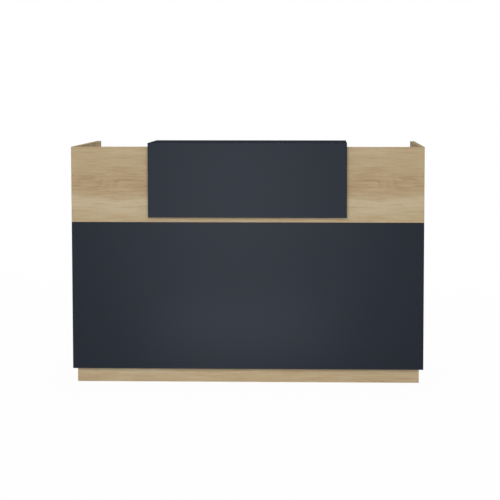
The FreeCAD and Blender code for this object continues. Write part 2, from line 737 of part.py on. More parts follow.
def foot_socket(x, y):
    """The fixed part of a foot: a square plate under the base rail with a tube for the spindle."""
    half = SOCKET_PLATE / 2
    rise = SOCKET_PLATE_BOTTOM - SOCKET_BOTTOM
    level = (SOCKET_PLATE_BOTTOM, SHELL_BOTTOM)
    plate = slab((x - half, x + half), (y - half, y + half), level)
    upright = [edge for edge in plate.Edges if runs_along(edge, Z_AXIS)]
    plate = plate.makeFillet(SCREW_HEAD_RADIUS, upright)
    tube_base = vec(x, y, SOCKET_BOTTOM)
    tube = rod(SOCKET_RADIUS, tube_base, Z_AXIS, rise)
    bore = rod(SPINDLE_RADIUS + SPINDLE_FIT, tube_base, Z_AXIS, rise)
    return plate.fuse(tube).removeSplitter().cut(bore).Solids[0]


def foot_adjuster(x, y):
    """The spindle that screws out of the socket, with a ribbed collar to turn it by hand."""
    glide_bore = GLIDE_PIN_RADIUS + GLIDE_FIT
    rise = SOCKET_BOTTOM - COLLAR_BOTTOM
    outline = [
        (glide_bore, COLLAR_BOTTOM),
        (COLLAR_RADIUS, COLLAR_BOTTOM),
        (COLLAR_RADIUS, SOCKET_BOTTOM),
        (SPINDLE_RADIUS, SOCKET_BOTTOM),
        (SPINDLE_RADIUS, SPINDLE_TOP - SPINDLE_CHAMFER),
        (SPINDLE_RADIUS - SPINDLE_CHAMFER, SPINDLE_TOP),
        (0, SPINDLE_TOP),
        (0, COLLAR_BOTTOM + GLIDE_PIN_HEIGHT),
        (glide_bore, COLLAR_BOTTOM + GLIDE_PIN_HEIGHT),
    ]
    solid = turned(outline, vec(x, y, 0), Z_AXIS)
    grooves = []
    for i in range(COLLAR_RIBS):
        angle = 2 * math.pi * i / COLLAR_RIBS
        out = vec(math.cos(angle), math.sin(angle), 0) * COLLAR_RADIUS
        grooves.append(rod(RIB_RADIUS, vec(x, y, COLLAR_BOTTOM) + out, Z_AXIS, rise))
    return solid.cut(grooves).Solids[0]


def foot_glide(x, y):
    """The pad on the floor, with the pin that the adjuster turns on."""
    pin_top = COLLAR_BOTTOM + GLIDE_PIN_HEIGHT
    outline = [
        (0, 0),
        (GLIDE_RADIUS - GLIDE_CHAMFER, 0),
        (GLIDE_RADIUS, GLIDE_CHAMFER),
        (GLIDE_RADIUS, GLIDE_BRIM),
        (COLLAR_RADIUS, COLLAR_BOTTOM),
        (GLIDE_PIN_RADIUS, COLLAR_BOTTOM),
        (GLIDE_PIN_RADIUS, pin_top),
        (0, pin_top),
    ]
    return turned(outline, vec(x, y, 0), Z_AXIS)


def feet():
    nodes = {}
    for name, (x, y) in FEET.items():
        nodes["foot_socket_" + name] = [foot_socket(x, y)]
        nodes["foot_adjuster_" + name] = [foot_adjuster(x, y)]
        nodes["foot_glide_" + name] = [foot_glide(x, y)]
    return nodes


def fasteners():
    """Each group of fasteners, and all the bores that they sit in."""
    groups = {
        "fascia_screws": fascia_screws(),
        "batten_screws": batten_screws(),
        "angle_screws": angle_screws(),
        "stiffener_screws": stiffener_screws(),
        "tray_screws": tray_screws(),
        "foot_screws": foot_screws(),
        "seam_dowels": seam_dowels(),
        "board_dowels": board_dowels(),
    }
    nodes = {name: [solid for solid, bores in pairs] for name, pairs in groups.items()}
    bores = []
    for pairs in groups.values():
        bores += [bore for solid, cuts in pairs for bore in cuts]
    cams = cam_fittings()
    nodes["cam_housings"] = both([cam[0] for cam in cams])
    nodes["cam_bolts"] = both([cam[1] for cam in cams])
    nodes["cam_caps"] = both([cam[2] for cam in cams])
    bores += both([bore for cam in cams for bore in cam[3]])
    return nodes, bores


def main():
    nodes, bores = fasteners()
    bores += port_bores()
    boards = (front_boards, counter_boards, gable_boards, worktop_boards, base_boards)
    fittings = (base_angles, stiffener_rail, cable_tray, cable_ports, feet)
    for maker in boards + fittings:
        for name, shapes in maker().items():
            nodes[name] = drilled(shapes, bores)
    os.makedirs("parts", exist_ok=True)
    for name, shapes in nodes.items():
        Part.makeCompound(shapes).exportStep("parts/" + name + ".step")


main()
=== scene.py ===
import math

import bmesh
import bpy
from bpy.props import FloatProperty, FloatVectorProperty, PointerProperty
from mathutils import Matrix, Vector


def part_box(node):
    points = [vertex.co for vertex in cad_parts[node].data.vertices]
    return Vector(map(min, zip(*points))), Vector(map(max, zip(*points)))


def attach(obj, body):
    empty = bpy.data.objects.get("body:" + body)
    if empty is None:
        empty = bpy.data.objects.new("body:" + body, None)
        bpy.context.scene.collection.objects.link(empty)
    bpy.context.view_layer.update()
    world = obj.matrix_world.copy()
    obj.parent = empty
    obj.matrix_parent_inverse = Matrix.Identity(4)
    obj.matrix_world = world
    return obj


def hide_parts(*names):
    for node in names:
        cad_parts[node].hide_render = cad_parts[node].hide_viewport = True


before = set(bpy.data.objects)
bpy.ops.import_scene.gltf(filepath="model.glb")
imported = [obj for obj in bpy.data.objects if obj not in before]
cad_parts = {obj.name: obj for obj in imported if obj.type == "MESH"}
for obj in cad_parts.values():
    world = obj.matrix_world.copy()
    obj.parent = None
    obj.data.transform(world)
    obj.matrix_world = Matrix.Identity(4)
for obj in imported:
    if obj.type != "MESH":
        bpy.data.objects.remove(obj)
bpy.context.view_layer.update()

bl_info = {
    "name": "Reception Desk",
    "version": (1, 0, 0),
    "blender": (4, 5, 0),
    "location": "View3D > Sidebar > Desk",
    "description": "Finishes, fixings and studio for a reception desk in faced chipboard",
    "category": "Object",
}

AXES = "XYZ"
MM = 0.001
FEET = ("front_left", "front_right", "rear_left", "rear_right")
STEP = 0.01 * MM  # rise of a flat shoulder on a turned piece
POINT_RADIUS = 0.05 * MM  # what is left of a turned piece at its point
END = 0.3 * MM  # depth in which a solid's end is looked at
MERGED = 0.001 * MM  # places nearer than this are one
SMOOTH_ANGLE = math.radians(35)
SQUARE_ON = 0.5  # how squarely a surface faces an axis from where it counts as facing it
FLAKE = 3.5 * MM  # one flake in a chipboard core
DUST = 1.5 * MM  # fines between the flakes
SAWN = 0.9  # roughness of a sawn edge
WANDER = 60 * MM  # how far the heart of the log wanders across a sheet
HEART_DEPTH = 130 * MM  # how far the heart of the log dips under a sheet
SAP_BAND = (52 * MM, 10 * MM)  # from the middle of a pale band to where it ends and to where it is full
PORE_DEPTH = 0.08 * MM  # pores pressed into the oak print
MOTTLE = 180 * MM  # one faint cloud in the graphite decor
PEARL = 2 * MM  # one bead of the graphite's texture
PEARL_DEPTH = 0.05 * MM
DRAG = 12 * MM  # one drag mark from trimming a graphite band
GRAIN_RELIEF = 0.03 * MM  # depth of the grain on a coat, plating or moulding
CLOUD = 12  # grains in one cloud of a coat, plating or moulding
FLANK = (0.1, 0.4)  # where a thread's flank starts and ends, in shares of its pitch
HEAD_SHOULDER = 0.3  # height of the point between a pan head's flat and side, in shares of its rounding
GROOVE_CUTTER = 3.0  # length of what cuts a collar's grooves, in heights of the collar
FIXING_SIDES = 16  # round a screw or bolt
FIXING_RINGS = 4.0  # in one turn of a screw's or bolt's thread
BOLT_BREAK = 0.5 * MM  # broken edge of a cam bolt's head
BOLT_LEAD = 1.0 * MM  # lead-in at the end of a cam bolt's thread
# rise and inset of a cover cap's rim, in heights of the cap
CAP_RIM = ((0.0, 0.0), (0.5, 0.0), (0.75, 0.07), (0.92, 0.25), (1.0, 0.5))
CAP_SIDES = 40
FLUTES = 18  # round a dowel
COLLAR_SIDES = 72
SPINDLE_RINGS = 8.0  # in one turn of a foot's thread
GROOVES = 12  # round a foot's collar
GROOVE_SIDES = 24
BORE_SIDES = 48
FLOOR_SIDES = 128
FLOOR_FADE = (0.45, 0.95)  # where the floor starts and ends to fade, in shares of its radius
CAMERA_REACH = 100.0
FRONT_MIDDLE = (0, -0.4, 0.6)
MATT = {"mirrored": False}
GLARE = {"lit": False}
GRIDDED = {"mirrored": False, "spread": math.radians(30)}
SOFTBOXES = {  # place, aim and size in metres, the power's property, and what sets a softbox apart
    "key_softbox": ((-0.1, -5.4, 4.8), FRONT_MIDDLE, (3.2, 2.0), "key_power", {}),
    "front_softbox": ((-0.46, -7.6, 0.5), FRONT_MIDDLE, (0.9, 1.0), "front_power", {}),
    "left_wing_softbox": ((-1.9, -4.8, 3.0), FRONT_MIDDLE, (1.0, 1.0), "wing_power", MATT),
    "right_wing_softbox": ((1.9, -4.8, 3.0), FRONT_MIDDLE, (1.0, 1.0), "wing_power", MATT),
    "top_softbox": ((0, 0.6, 5.2), (0, 0.2, 0.7), (2.4, 2.4), "top_power", MATT),
    "low_softbox": ((-0.08, -1.6, 0.06), (0, -0.4, 0.25), (0.9, 0.1), "low_power", GLARE),
    "plinth_softbox": ((0, -3.4, 1.5), (0, -0.4, 0.04), (1.5, 0.2), "plinth_power", GRIDDED),
    "left_softbox": ((-6.0, 0.2, 0.6), (-0.8, 0, 0.6), (2.4, 1.0), "side_power", MATT),
    "right_softbox": ((6.0, 0.2, 0.6), (0.8, 0, 0.6), (2.4, 1.0), "side_power", MATT),
    "rear_softbox": ((0.6, 7.0, 1.8), (0, 0.4, 0.6), (5.0, 3.0), "rear_power", MATT),
}


def linear(code):
    """A linear colour with alpha from an sRGB hex value."""
    shares = [int(code[i:i + 2], 16) / 255 for i in (1, 3, 5)]
    return [s / 12.92 if s <= 0.04045 else ((s + 0.055) / 1.055) ** 2.4 for s in shares] + [1.0]


def colour(code, title, use):
    """A colour that a user may change."""
    return FloatVectorProperty(
        name=title, description=use, subtype="COLOR", size=4, min=0, max=1, default=linear(code)
    )


def length(millimetres, title, use):
    """A size that a user may change."""
    return FloatProperty(
        name=title, description=use, unit="LENGTH", min=0, precision=5, default=millimetres * MM
    )


class DeskFinishes(bpy.types.PropertyGroup):
    """Colours and print sizes of the desk's boards and fittings"""

    oak: colour("#B4A181", "Oak", "Plain ground of the oak print")
    oak_pale: colour("#C1B295", "Pale oak", "Sapwood bands and light streaks")
    oak_brown: colour("#A68A68", "Brown oak", "Heartwood bands and dark streaks")
    oak_line: colour("#8A7050", "Oak lines", "Latewood lines and pores")
    graphite: colour("#1B1E26", "Graphite", "Plain graphite decor of the fronts")
    graphite_light: colour("#1C1F28", "Light graphite", "Faint clouds in the graphite decor")
    graphite_sheen: colour("#DFF0FF", "Graphite sheen", "Tint of what the graphite mirrors")
    graphite_matt: colour("#2A2C33", "Matt graphite", "Dull graphite of the counter top and the edge bands")
    graphite_matt_light: colour("#2C2F36", "Light matt graphite", "Faint clouds in the dull graphite")
    core: colour("#A98B62", "Chipboard", "Ground of the raw board edges")
    core_dark: colour("#7A5F3F", "Chipboard flakes", "Dark flakes in the raw board edges")
    beech: colour("#C9A47A", "Beech", "Planed beech of the battens and dowels")
    beech_fleck: colour("#A67C52", "Beech flecks", "Ray flecks in the beech")
    powder: colour("#A9ABAC", "Powder coat", "Grey coat on the sheet steel")
    powder_dark: colour("#A4A6A7", "Powder coat grain", "Shaded grain of the grey coat")
    plating: colour("#B6B7B8", "Zinc plating", "Bright zinc on screws, bolts and angles")
    plating_warm: colour("#ADA99C", "Passivation", "Yellowish cast in the zinc plating")
    die_cast: colour("#A8A9AB", "Die-cast zinc", "Cam housings")
    die_cast_dark: colour("#8E8F92", "Die-cast skin", "Flow marks on the cam housings")
    cap: colour("#AD9B7B", "Cap plastic", "Cover caps matched to the oak")
    port: colour("#3F4245", "Port plastic", "Cable ports")
    foot: colour("#1E1F20", "Foot plastic", "Levelling feet")
    heart_height: length(912, "Heart height", "Height of the front's brown heartwood band")
    heart_width: length(62, "Heart width", "Half width of a heartwood band")
    heart_spacing: length(365, "Heart spacing", "From one heartwood band to the next across a sheet")
    sap_offset: length(92, "Sap offset", "From a heartwood band down to its pale band")
    ring: length(7.5, "Growth ring", "Width of one growth ring in the log")


class DeskFixings(bpy.types.PropertyGroup):
    """Sizes of the turned fixings"""

    head_radius: length(4.0, "Screw head radius", "Pan head of the screws")
    head_height: length(2.4, "Screw head height", "Pan head of the screws")
    head_round: length(0.9, "Screw head round", "Rounding of the pan head")
    screw_radius: length(2.0, "Screw radius", "Over the thread of the screws")
    screw_root: length(1.45, "Screw root", "Core radius under the screw thread")
    screw_pitch: length(1.8, "Screw pitch", "Rise of the screw thread in one turn")
    screw_point: length(3.0, "Screw point", "Length of the screw's point")
    recess: length(4.4, "Recess", "Across the cross recess")
    recess_slot: length(0.9, "Recess slot", "Width of the cross recess")
    recess_depth: length(1.3, "Recess depth", "Depth of the cross recess")
    bolt_radius: length(3.5, "Bolt radius", "Head and shank of the cam bolts")
    bolt_neck: length(2.2, "Bolt neck", "Radius that the cam grips")
    bolt_head: length(6.0, "Bolt head", "Length of the cam bolt's head")
    bolt_neck_end: length(11.0, "Bolt neck end", "From the head's end to the shank")
    bolt_thread: length(11.0, "Bolt thread", "Length of the thread in the front panel")
    bolt_thread_radius: length(2.5, "Bolt thread radius", "Over the bolt's thread")
    bolt_thread_root: length(1.8, "Bolt thread root", "Under the bolt's thread")
    bolt_pitch: length(2.4, "Bolt pitch", "Rise of the bolt's thread in one turn")
    cap_radius: length(8.5, "Cap radius", "Cover caps over the cams")
    cap_height: length(1.2, "Cap height", "Cover caps over the cams")
    dowel_radius: length(4.0, "Dowel radius", "Over the flutes of the dowels")
    dowel_root: length(3.7, "Dowel root", "In the flutes of the dowels")
    dowel_chamfer: length(0.8, "Dowel chamfer", "Chamfer at both ends of a dowel")
    collar_radius: length(17.0, "Collar radius", "Collar that turns a foot")
    collar_height: length(15.0, "Collar height", "Collar that turns a foot")
    collar_round: length(1.0, "Collar round", "Broken edges of the collar")
    groove_radius: length(2.0, "Groove radius", "Finger grooves round the collar")
    spindle_radius: length(10.0, "Spindle radius", "Over the thread of a foot's spindle")
    spindle_root: length(9.0, "Spindle root", "Under the thread of a foot's spindle")
    spindle_pitch: length(3.0, "Spindle pitch", "Rise of the spindle's thread in one turn")
    spindle_chamfer: length(2.0, "Spindle chamfer", "Lead-in at the spindle's end")
    pin_bore: length(5.08, "Pin bore", "Radius of the bore that the glide turns in")
    pin_depth: length(14.0, "Pin depth", "Depth of the bore that the glide turns in")


class DeskStage(bpy.types.PropertyGroup):
    """Camera, lights and floor of the studio"""

    camera_place: FloatVectorProperty(
        name="Camera place", description="Where the camera stands", subtype="TRANSLATION",
        default=(0.3444, -7.1480, 1.3371),
    )
    camera_pan: FloatProperty(
        name="Camera pan", description="Turn to the left", subtype="ANGLE", default=math.radians(1.664)
    )
    camera_tilt: FloatProperty(
        name="Camera tilt", description="Turn upwards", subtype="ANGLE", default=math.radians(-4.184)
    )
    lens: FloatProperty(
        name="Lens", description="Focal length in millimetres", unit="CAMERA", default=108.01, min=1
    )
    shift: FloatVectorProperty(
        name="Lens shift", description="Share of the picture's width", size=2, default=(-0.06, -0.1)
    )
    ambient: FloatProperty(name="Ambient", description="Even light from all round", default=0.2, min=0)
    key_power: FloatProperty(
        name="Key light", description="Softbox above the camera", unit="POWER", default=40, min=0
    )
    front_power: FloatProperty(
        name="Front light", description="Softbox behind the camera", unit="POWER", default=134, min=0
    )
    wing_power: FloatProperty(
        name="Wing lights", description="Softbox on each side of the camera", unit="POWER", default=47, min=0
    )
    top_power: FloatProperty(
        name="Top light", description="Softbox over the desk", unit="POWER", default=66, min=0
    )
    low_power: FloatProperty(
        name="Low light", description="Strip softbox on the floor", unit="POWER", default=3.5, min=0
    )
    plinth_power: FloatProperty(
        name="Plinth light", description="Strip softbox with a grid", unit="POWER", default=0.6, min=0
    )
    side_power: FloatProperty(
        name="Side lights", description="Softbox beyond each gable", unit="POWER", default=105, min=0
    )
    rear_power: FloatProperty(
        name="Rear light", description="Softbox on the staff side", unit="POWER", default=320, min=0
    )
    floor_paper: colour("#F4F3F0", "Floor paper", "Pale paper of the floor")
    floor_radius: length(6500, "Floor radius", "Floor from its middle to its faded rim")
    floor_white: FloatProperty(
        name="Floor white", description="Share of plain white in the floor that is seen", subtype="FACTOR",
        default=0.97, min=0, max=1,
    )


def add(tree, kind, inputs=None, **settings):
    """Adds a node with its settings and inputs, which are values, sockets or lists of sockets, and gives its
    first live output."""
    made = tree.nodes.new(kind)
    for field, value in settings.items():
        setattr(made, field, value)
    for key, value in (inputs or {}).items():
        if isinstance(key, int):
            socket = made.inputs[key]
        else:
            socket = next(s for s in made.inputs if s.enabled and key in (s.identifier, s.name))
        if isinstance(value, list) and socket.is_multi_input:
            for source in value:
                tree.links.new(source, socket)
        elif isinstance(value, bpy.types.NodeSocket):
            tree.links.new(value, socket)
        else:
            socket.default_value = value
    return next((s for s in made.outputs if s.enabled), made)


def new_material(name):
    """An empty material with its shader, and the tree that they are in."""
    material = bpy.data.materials.new(name)
    material.use_nodes = True
    tree = material.node_tree
    tree.nodes.clear()
    shader = add(tree, "ShaderNodeBsdfPrincipled").node
    add(tree, "ShaderNodeOutputMaterial", {"Surface": shader.outputs["BSDF"]})
    return material, tree, shader


def across_axis(*axes):
    """The axis that is none of those given."""
    return next(axis for axis in AXES if axis not in axes)


def split_place(tree):
    """X, Y and Z of a point, and how squarely its surface faces each axis."""
    coordinates = add(tree, "ShaderNodeTexCoord").node
    place = add(tree, "ShaderNodeSeparateXYZ", {"Vector": coordinates.outputs["Object"]}).node.outputs
    normal = add(tree, "ShaderNodeVectorMath", {0: coordinates.outputs["Normal"]}, operation="ABSOLUTE")
    facing = add(tree, "ShaderNodeSeparateXYZ", {"Vector": normal}).node.outputs
    return coordinates.outputs["Object"], place, facing


def streaks(tree, sheet, size, levels, most=1.0, detail=3.0):
    """Streaks along the grain, size being their length and width in millimetres. There are none at the first
    level of their noise and most at the second, which may be the lower."""
    scale = (*(1 / (side * MM) for side in size), 0.0)
    drawn = add(tree, "ShaderNodeMapping", {"Vector": sheet, "Scale": scale})
    noise = add(tree, "ShaderNodeTexNoise", {"Vector": drawn, "Scale": 1.0, "Detail": detail})
    return add(
        tree, "ShaderNodeMapRange",
        {"Value": noise, "From Min": levels[0], "From Max": levels[1], "To Max": most},
        interpolation_type="SMOOTHSTEP",
    )


def face_or_edge(tree, shader, facing, place, shown, gloss):
    """The print on a board's two faces, and the chipboard core on its sawn edges: pressed flakes in two
    browns."""
    look = bpy.context.scene.desk_finishes
    flakes = add(tree, "ShaderNodeTexVoronoi", {"Vector": place, "Scale": 1 / FLAKE})
    dust = add(tree, "ShaderNodeTexNoise", {"Vector": place, "Scale": 1 / DUST, "Detail": 2.0})
    pressed = add(tree, "ShaderNodeMath", {0: flakes, 1: dust}, operation="MULTIPLY")
    shade = add(tree, "ShaderNodeMapRange", {"Value": pressed, "From Min": 0.1, "From Max": 0.45})
    on_face = add(tree, "ShaderNodeMath", {0: facing, 1: SQUARE_ON}, operation="GREATER_THAN")
    core = look.core
    for share, laid in ((shade, look.core_dark), (on_face, shown)):
        core = add(
            tree, "ShaderNodeMix", {"Factor_Float": share, "A_Color": core, "B_Color": laid}, data_type="RGBA"
        )
    tree.links.new(core, shader.inputs["Base Color"])
    roughness = add(
        tree, "ShaderNodeMix", {"Factor_Float": on_face, "A_Float": SAWN, "B_Float": gloss}, data_type="FLOAT"
    )
    tree.links.new(roughness, shader.inputs["Roughness"])


def oak_print(tree, sheet):
    """The oak decor on a sheet whose X runs along the grain and Y across it: its colour and its pores. It is
    drawn as a log cut flat, so growth rings run into long flames over the heart and straight beside it."""
    look = bpy.context.scene.desk_finishes
    across = add(tree, "ShaderNodeSeparateXYZ", {"Vector": sheet}).node.outputs["Y"]
    wander = streaks(tree, sheet, (640, 130), (0.2, 0.8), most=WANDER)
    bent = add(tree, "ShaderNodeMath", {0: across, 1: wander}, operation="ADD")
    heart = add(tree, "ShaderNodeMath", {0: bent, 1: look.heart_height + WANDER / 2}, operation="SUBTRACT")
    half = look.heart_spacing / 2
    offset = add(tree, "ShaderNodeMath", {0: heart, 1: half, 2: -half}, operation="WRAP")
    depth = streaks(tree, sheet, (1300, 300), (0.25, 0.75), most=HEART_DEPTH)
    depth_squared = add(tree, "ShaderNodeMath", {0: depth, 1: depth}, operation="MULTIPLY")
    radius_squared = add(
        tree, "ShaderNodeMath", {0: offset, 1: offset, 2: depth_squared}, operation="MULTIPLY_ADD"
    )
    radius = add(tree, "ShaderNodeMath", {0: radius_squared}, operation="SQRT")
    rings = add(tree, "ShaderNodeMath", {0: radius, 1: look.ring}, operation="DIVIDE")
    ring_share = add(tree, "ShaderNodeMath", {0: rings}, operation="FRACT")
    latewood = add(tree, "ShaderNodeMath", {0: ring_share, 1: 2.0}, operation="POWER")
    bands = {}
    for band, middle, outer, inner, most in (
        ("heart", 0.0, look.heart_width * 1.25, look.heart_width * 0.2, 0.45),
        ("sap", -look.sap_offset, *SAP_BAND, 0.7),
    ):
        away = add(tree, "ShaderNodeMath", {0: offset, 1: middle}, operation="SUBTRACT")
        away = add(tree, "ShaderNodeMath", {0: away}, operation="ABSOLUTE")
        bands[band] = add(
            tree, "ShaderNodeMapRange", {"Value": away, "From Min": outer, "From Max": inner, "To Max": most},
            interpolation_type="SMOOTHSTEP",
        )
    broken = streaks(tree, sheet, (110, 9), (0.42, 0.62))
    flames = add(tree, "ShaderNodeMath", {0: latewood, 1: broken}, operation="MULTIPLY")
    flame_depth = add(tree, "ShaderNodeMath", {0: bands["heart"], 1: 1.0, 2: 0.12}, operation="MULTIPLY_ADD")
    flames = add(tree, "ShaderNodeMath", {0: flames, 1: flame_depth}, operation="MULTIPLY")
    # pores are 0.3 mm wide in oak; drawn 1.4 mm wide so that they show
    pores = streaks(tree, sheet, (26, 1.4), (0.58, 0.72), detail=1.0)
    speck = add(tree, "ShaderNodeMath", {0: pores, 1: 0.25}, operation="MULTIPLY")
    shown = look.oak
    for share, laid in (
        (bands["sap"], look.oak_pale),
        (bands["heart"], look.oak_brown),
        (streaks(tree, sheet, (260, 40), (0.5, 0.7), most=0.3), look.oak_pale),
        (streaks(tree, sheet, (260, 40), (0.5, 0.3), most=0.25), look.oak_brown),
        (streaks(tree, sheet, (130, 7), (0.5, 0.7), most=0.4, detail=4.0), look.oak_pale),
        (streaks(tree, sheet, (130, 7), (0.5, 0.3), most=0.45, detail=4.0), look.oak_brown),
        (flames, look.oak_line),
        (speck, look.oak_line),
    ):
        shown = add(
            tree, "ShaderNodeMix", {"Factor_Float": share, "A_Color": shown, "B_Color": laid},
            data_type="RGBA",
        )
    return shown, pores


def oak_melamine(name, grain, thick, bookmatched=False):
    """Oak print under a clear melamine overlay on chipboard: a matt even skin, so the wood is colour with
    only shallow pressed pores, and the sawn edges that no band covers show the flakes of the core."""
    material, tree, shader = new_material(name)
    whole, place, facing = split_place(tree)
    along = place[grain]
    if bookmatched:
        along = add(tree, "ShaderNodeMath", {0: along}, operation="ABSOLUTE")
    sheet = add(tree, "ShaderNodeCombineXYZ", {"X": along, "Y": place[across_axis(grain, thick)]})
    shown, pores = oak_print(tree, sheet)
    gloss = add(tree, "ShaderNodeMapRange", {"Value": pores, "To Min": 0.72, "To Max": 0.85})
    face_or_edge(tree, shader, facing[thick], whole, shown, gloss)
    shader.inputs["Specular IOR Level"].default_value = 0.04
    sunk = add(tree, "ShaderNodeMath", {0: 1.0, 1: pores}, operation="SUBTRACT")
    bump = add(tree, "ShaderNodeBump", {"Strength": 0.35, "Distance": PORE_DEPTH, "Height": sunk})
    tree.links.new(bump, shader.inputs["Normal"])
    return material


def graphite_melamine(name, thick, dull=False):
    """Plain graphite melamine on chipboard: a satin skin with a fine pearl texture, which spreads the softbox
    into one broad soft sheen. A counter top is pressed duller than a front, so that it doesn't mark."""
    look = bpy.context.scene.desk_finishes
    ground, light = look.graphite, look.graphite_light
    low, high, specular = 0.33, 0.39, 0.108
    if dull:
        ground, light = look.graphite_matt, look.graphite_matt_light
        low, high, specular = 0.85, 0.95, 0.003
    material, tree, shader = new_material(name)
    whole, _, facing = split_place(tree)
    clouds = add(tree, "ShaderNodeTexNoise", {"Vector": whole, "Scale": 1 / MOTTLE, "Detail": 3.0})
    shown = add(
        tree, "ShaderNodeMix", {"Factor_Float": clouds, "A_Color": ground, "B_Color": light}, data_type="RGBA"
    )
    # a bead of the pearl is 0.5 mm across; drawn 2 mm so that it shows
    pearl = add(tree, "ShaderNodeTexNoise", {"Vector": whole, "Scale": 1 / PEARL, "Detail": 2.0})
    gloss = add(tree, "ShaderNodeMapRange", {"Value": pearl, "To Min": low, "To Max": high})
    face_or_edge(tree, shader, facing[thick], whole, shown, gloss)
    bump = add(tree, "ShaderNodeBump", {"Strength": 0.15, "Distance": PEARL_DEPTH, "Height": pearl})
    tree.links.new(bump, shader.inputs["Normal"])
    shader.inputs["Specular IOR Level"].default_value = specular
    shader.inputs["Specular Tint"].default_value = look.graphite_sheen
    return material


def oak_band(name, thick):
    """Oak printed ABS edge band: smooth and matt, with streaks along each strip."""
    look = bpy.context.scene.desk_finishes
    material, tree, shader = new_material(name)
    _, place, facing = split_place(tree)
    first, second = (axis for axis in AXES if axis != thick)
    on_first = add(tree, "ShaderNodeMath", {0: facing[first], 1: SQUARE_ON}, operation="GREATER_THAN")
    along = add(
        tree, "ShaderNodeMix", {"Factor_Float": on_first, "A_Float": place[first], "B_Float": place[second]},
        data_type="FLOAT",
    )
    strip = add(tree, "ShaderNodeCombineXYZ", {"X": along, "Y": place[thick]})
    shown = look.oak
    most = 0.65
    fine = streaks(tree, strip, (160, 5), (0.62, 0.36), most=most, detail=4.0)
    lines = streaks(tree, strip, (90, 3), (0.62, 0.74), most=0.4)
    for share, laid in ((fine, look.oak_brown), (lines, look.oak_line)):
        shown = add(
            tree, "ShaderNodeMix", {"Factor_Float": share, "A_Color": shown, "B_Color": laid},
            data_type="RGBA",
        )
    tree.links.new(shown, shader.inputs["Base Color"])
    gloss = add(tree, "ShaderNodeMapRange", {"Value": fine, "From Max": most, "To Min": 0.75, "To Max": 0.9})
    tree.links.new(gloss, shader.inputs["Roughness"])
    shader.inputs["Specular IOR Level"].default_value = 0.01
    return material


def graphite_band(name):
    """Graphite ABS edge band: dull, with faint drag marks from trimming."""
    look = bpy.context.scene.desk_finishes
    material, tree, shader = new_material(name)
    whole, _, _ = split_place(tree)
    drag = add(tree, "ShaderNodeTexNoise", {"Vector": whole, "Scale": 1 / DRAG, "Detail": 3.0})
    shown = add(
        tree, "ShaderNodeMix",
        {"Factor_Float": drag, "A_Color": look.graphite_matt, "B_Color": look.graphite_matt_light},
        data_type="RGBA",
    )
    tree.links.new(shown, shader.inputs["Base Color"])
    gloss = add(tree, "ShaderNodeMapRange", {"Value": drag, "To Min": 0.85, "To Max": 0.95})
    tree.links.new(gloss, shader.inputs["Roughness"])
    shader.inputs["Specular IOR Level"].default_value = 0.005
    return material


def planed_beech(name, grain):
    """Planed beech: warm and plain, with short dark ray flecks along the grain and slow tone bands."""
    look = bpy.context.scene.desk_finishes
    material, tree, shader = new_material(name)
    _, place, _ = split_place(tree)
    first, second = (axis for axis in AXES if axis != grain)
    side = add(tree, "ShaderNodeMath", {0: place[first], 1: place[second]}, operation="ADD")
    sheet = add(tree, "ShaderNodeCombineXYZ", {"X": place[grain], "Y": side})
    most = 0.35
    bands = streaks(tree, sheet, (300, 14), (0.3, 0.7), most=most)
    # ray flecks are 2 mm long; drawn 9 mm long so that they show
    flecks = streaks(tree, sheet, (9, 1.2), (0.58, 0.72), most=0.5, detail=1.0)
    shown = look.beech
    for share in (bands, flecks):
        shown = add(
            tree, "ShaderNodeMix", {"Factor_Float": share, "A_Color": shown, "B_Color": look.beech_fleck},
            data_type="RGBA",
        )
    tree.links.new(shown, shader.inputs["Base Color"])
    gloss = add(tree, "ShaderNodeMapRange", {"Value": bands, "From Max": most, "To Min": 0.55, "To Max": 0.7})
    tree.links.new(gloss, shader.inputs["Roughness"])
    shader.inputs["Specular IOR Level"].default_value = 0.3
    return material


def grained(name, light, dark, grain, roughness, metallic=0.0):
    """A coat, plating or moulding with one grain: its colours, its grain in millimetres and its roughness
    from the grain's low places to its high ones."""
    material, tree, shader = new_material(name)
    whole, _, _ = split_place(tree)
    cloud = grain * CLOUD * MM
    slow = add(tree, "ShaderNodeTexNoise", {"Vector": whole, "Scale": 1 / cloud, "Detail": 2.0})
    share = add(tree, "ShaderNodeMapRange", {"Value": slow, "From Min": 0.3, "From Max": 0.7})
    shown = add(
        tree, "ShaderNodeMix", {"Factor_Float": share, "A_Color": light, "B_Color": dark}, data_type="RGBA"
    )
    tree.links.new(shown, shader.inputs["Base Color"])
    texture = add(tree, "ShaderNodeTexNoise", {"Vector": whole, "Scale": 1 / (grain * MM), "Detail": 2.0})
    gloss = add(
        tree, "ShaderNodeMapRange", {"Value": texture, "To Min": roughness[0], "To Max": roughness[1]}
    )
    tree.links.new(gloss, shader.inputs["Roughness"])
    bump = add(tree, "ShaderNodeBump", {"Strength": 0.3, "Distance": GRAIN_RELIEF, "Height": texture})
    tree.links.new(bump, shader.inputs["Normal"])
    shader.inputs["Metallic"].default_value = metallic
    return material


def zinc_plated(name):
    """Zinc plated steel: bright and slightly clouded, with a warm cast from its passivation."""
    look = bpy.context.scene.desk_finishes
    return grained(name, look.plating, look.plating_warm, grain=1.2, roughness=(0.28, 0.42), metallic=1.0)


def finish(material, *nodes):
    """Puts a finish on CAD nodes."""
    for name in nodes:
        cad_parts[name].material_slots[0].material = material


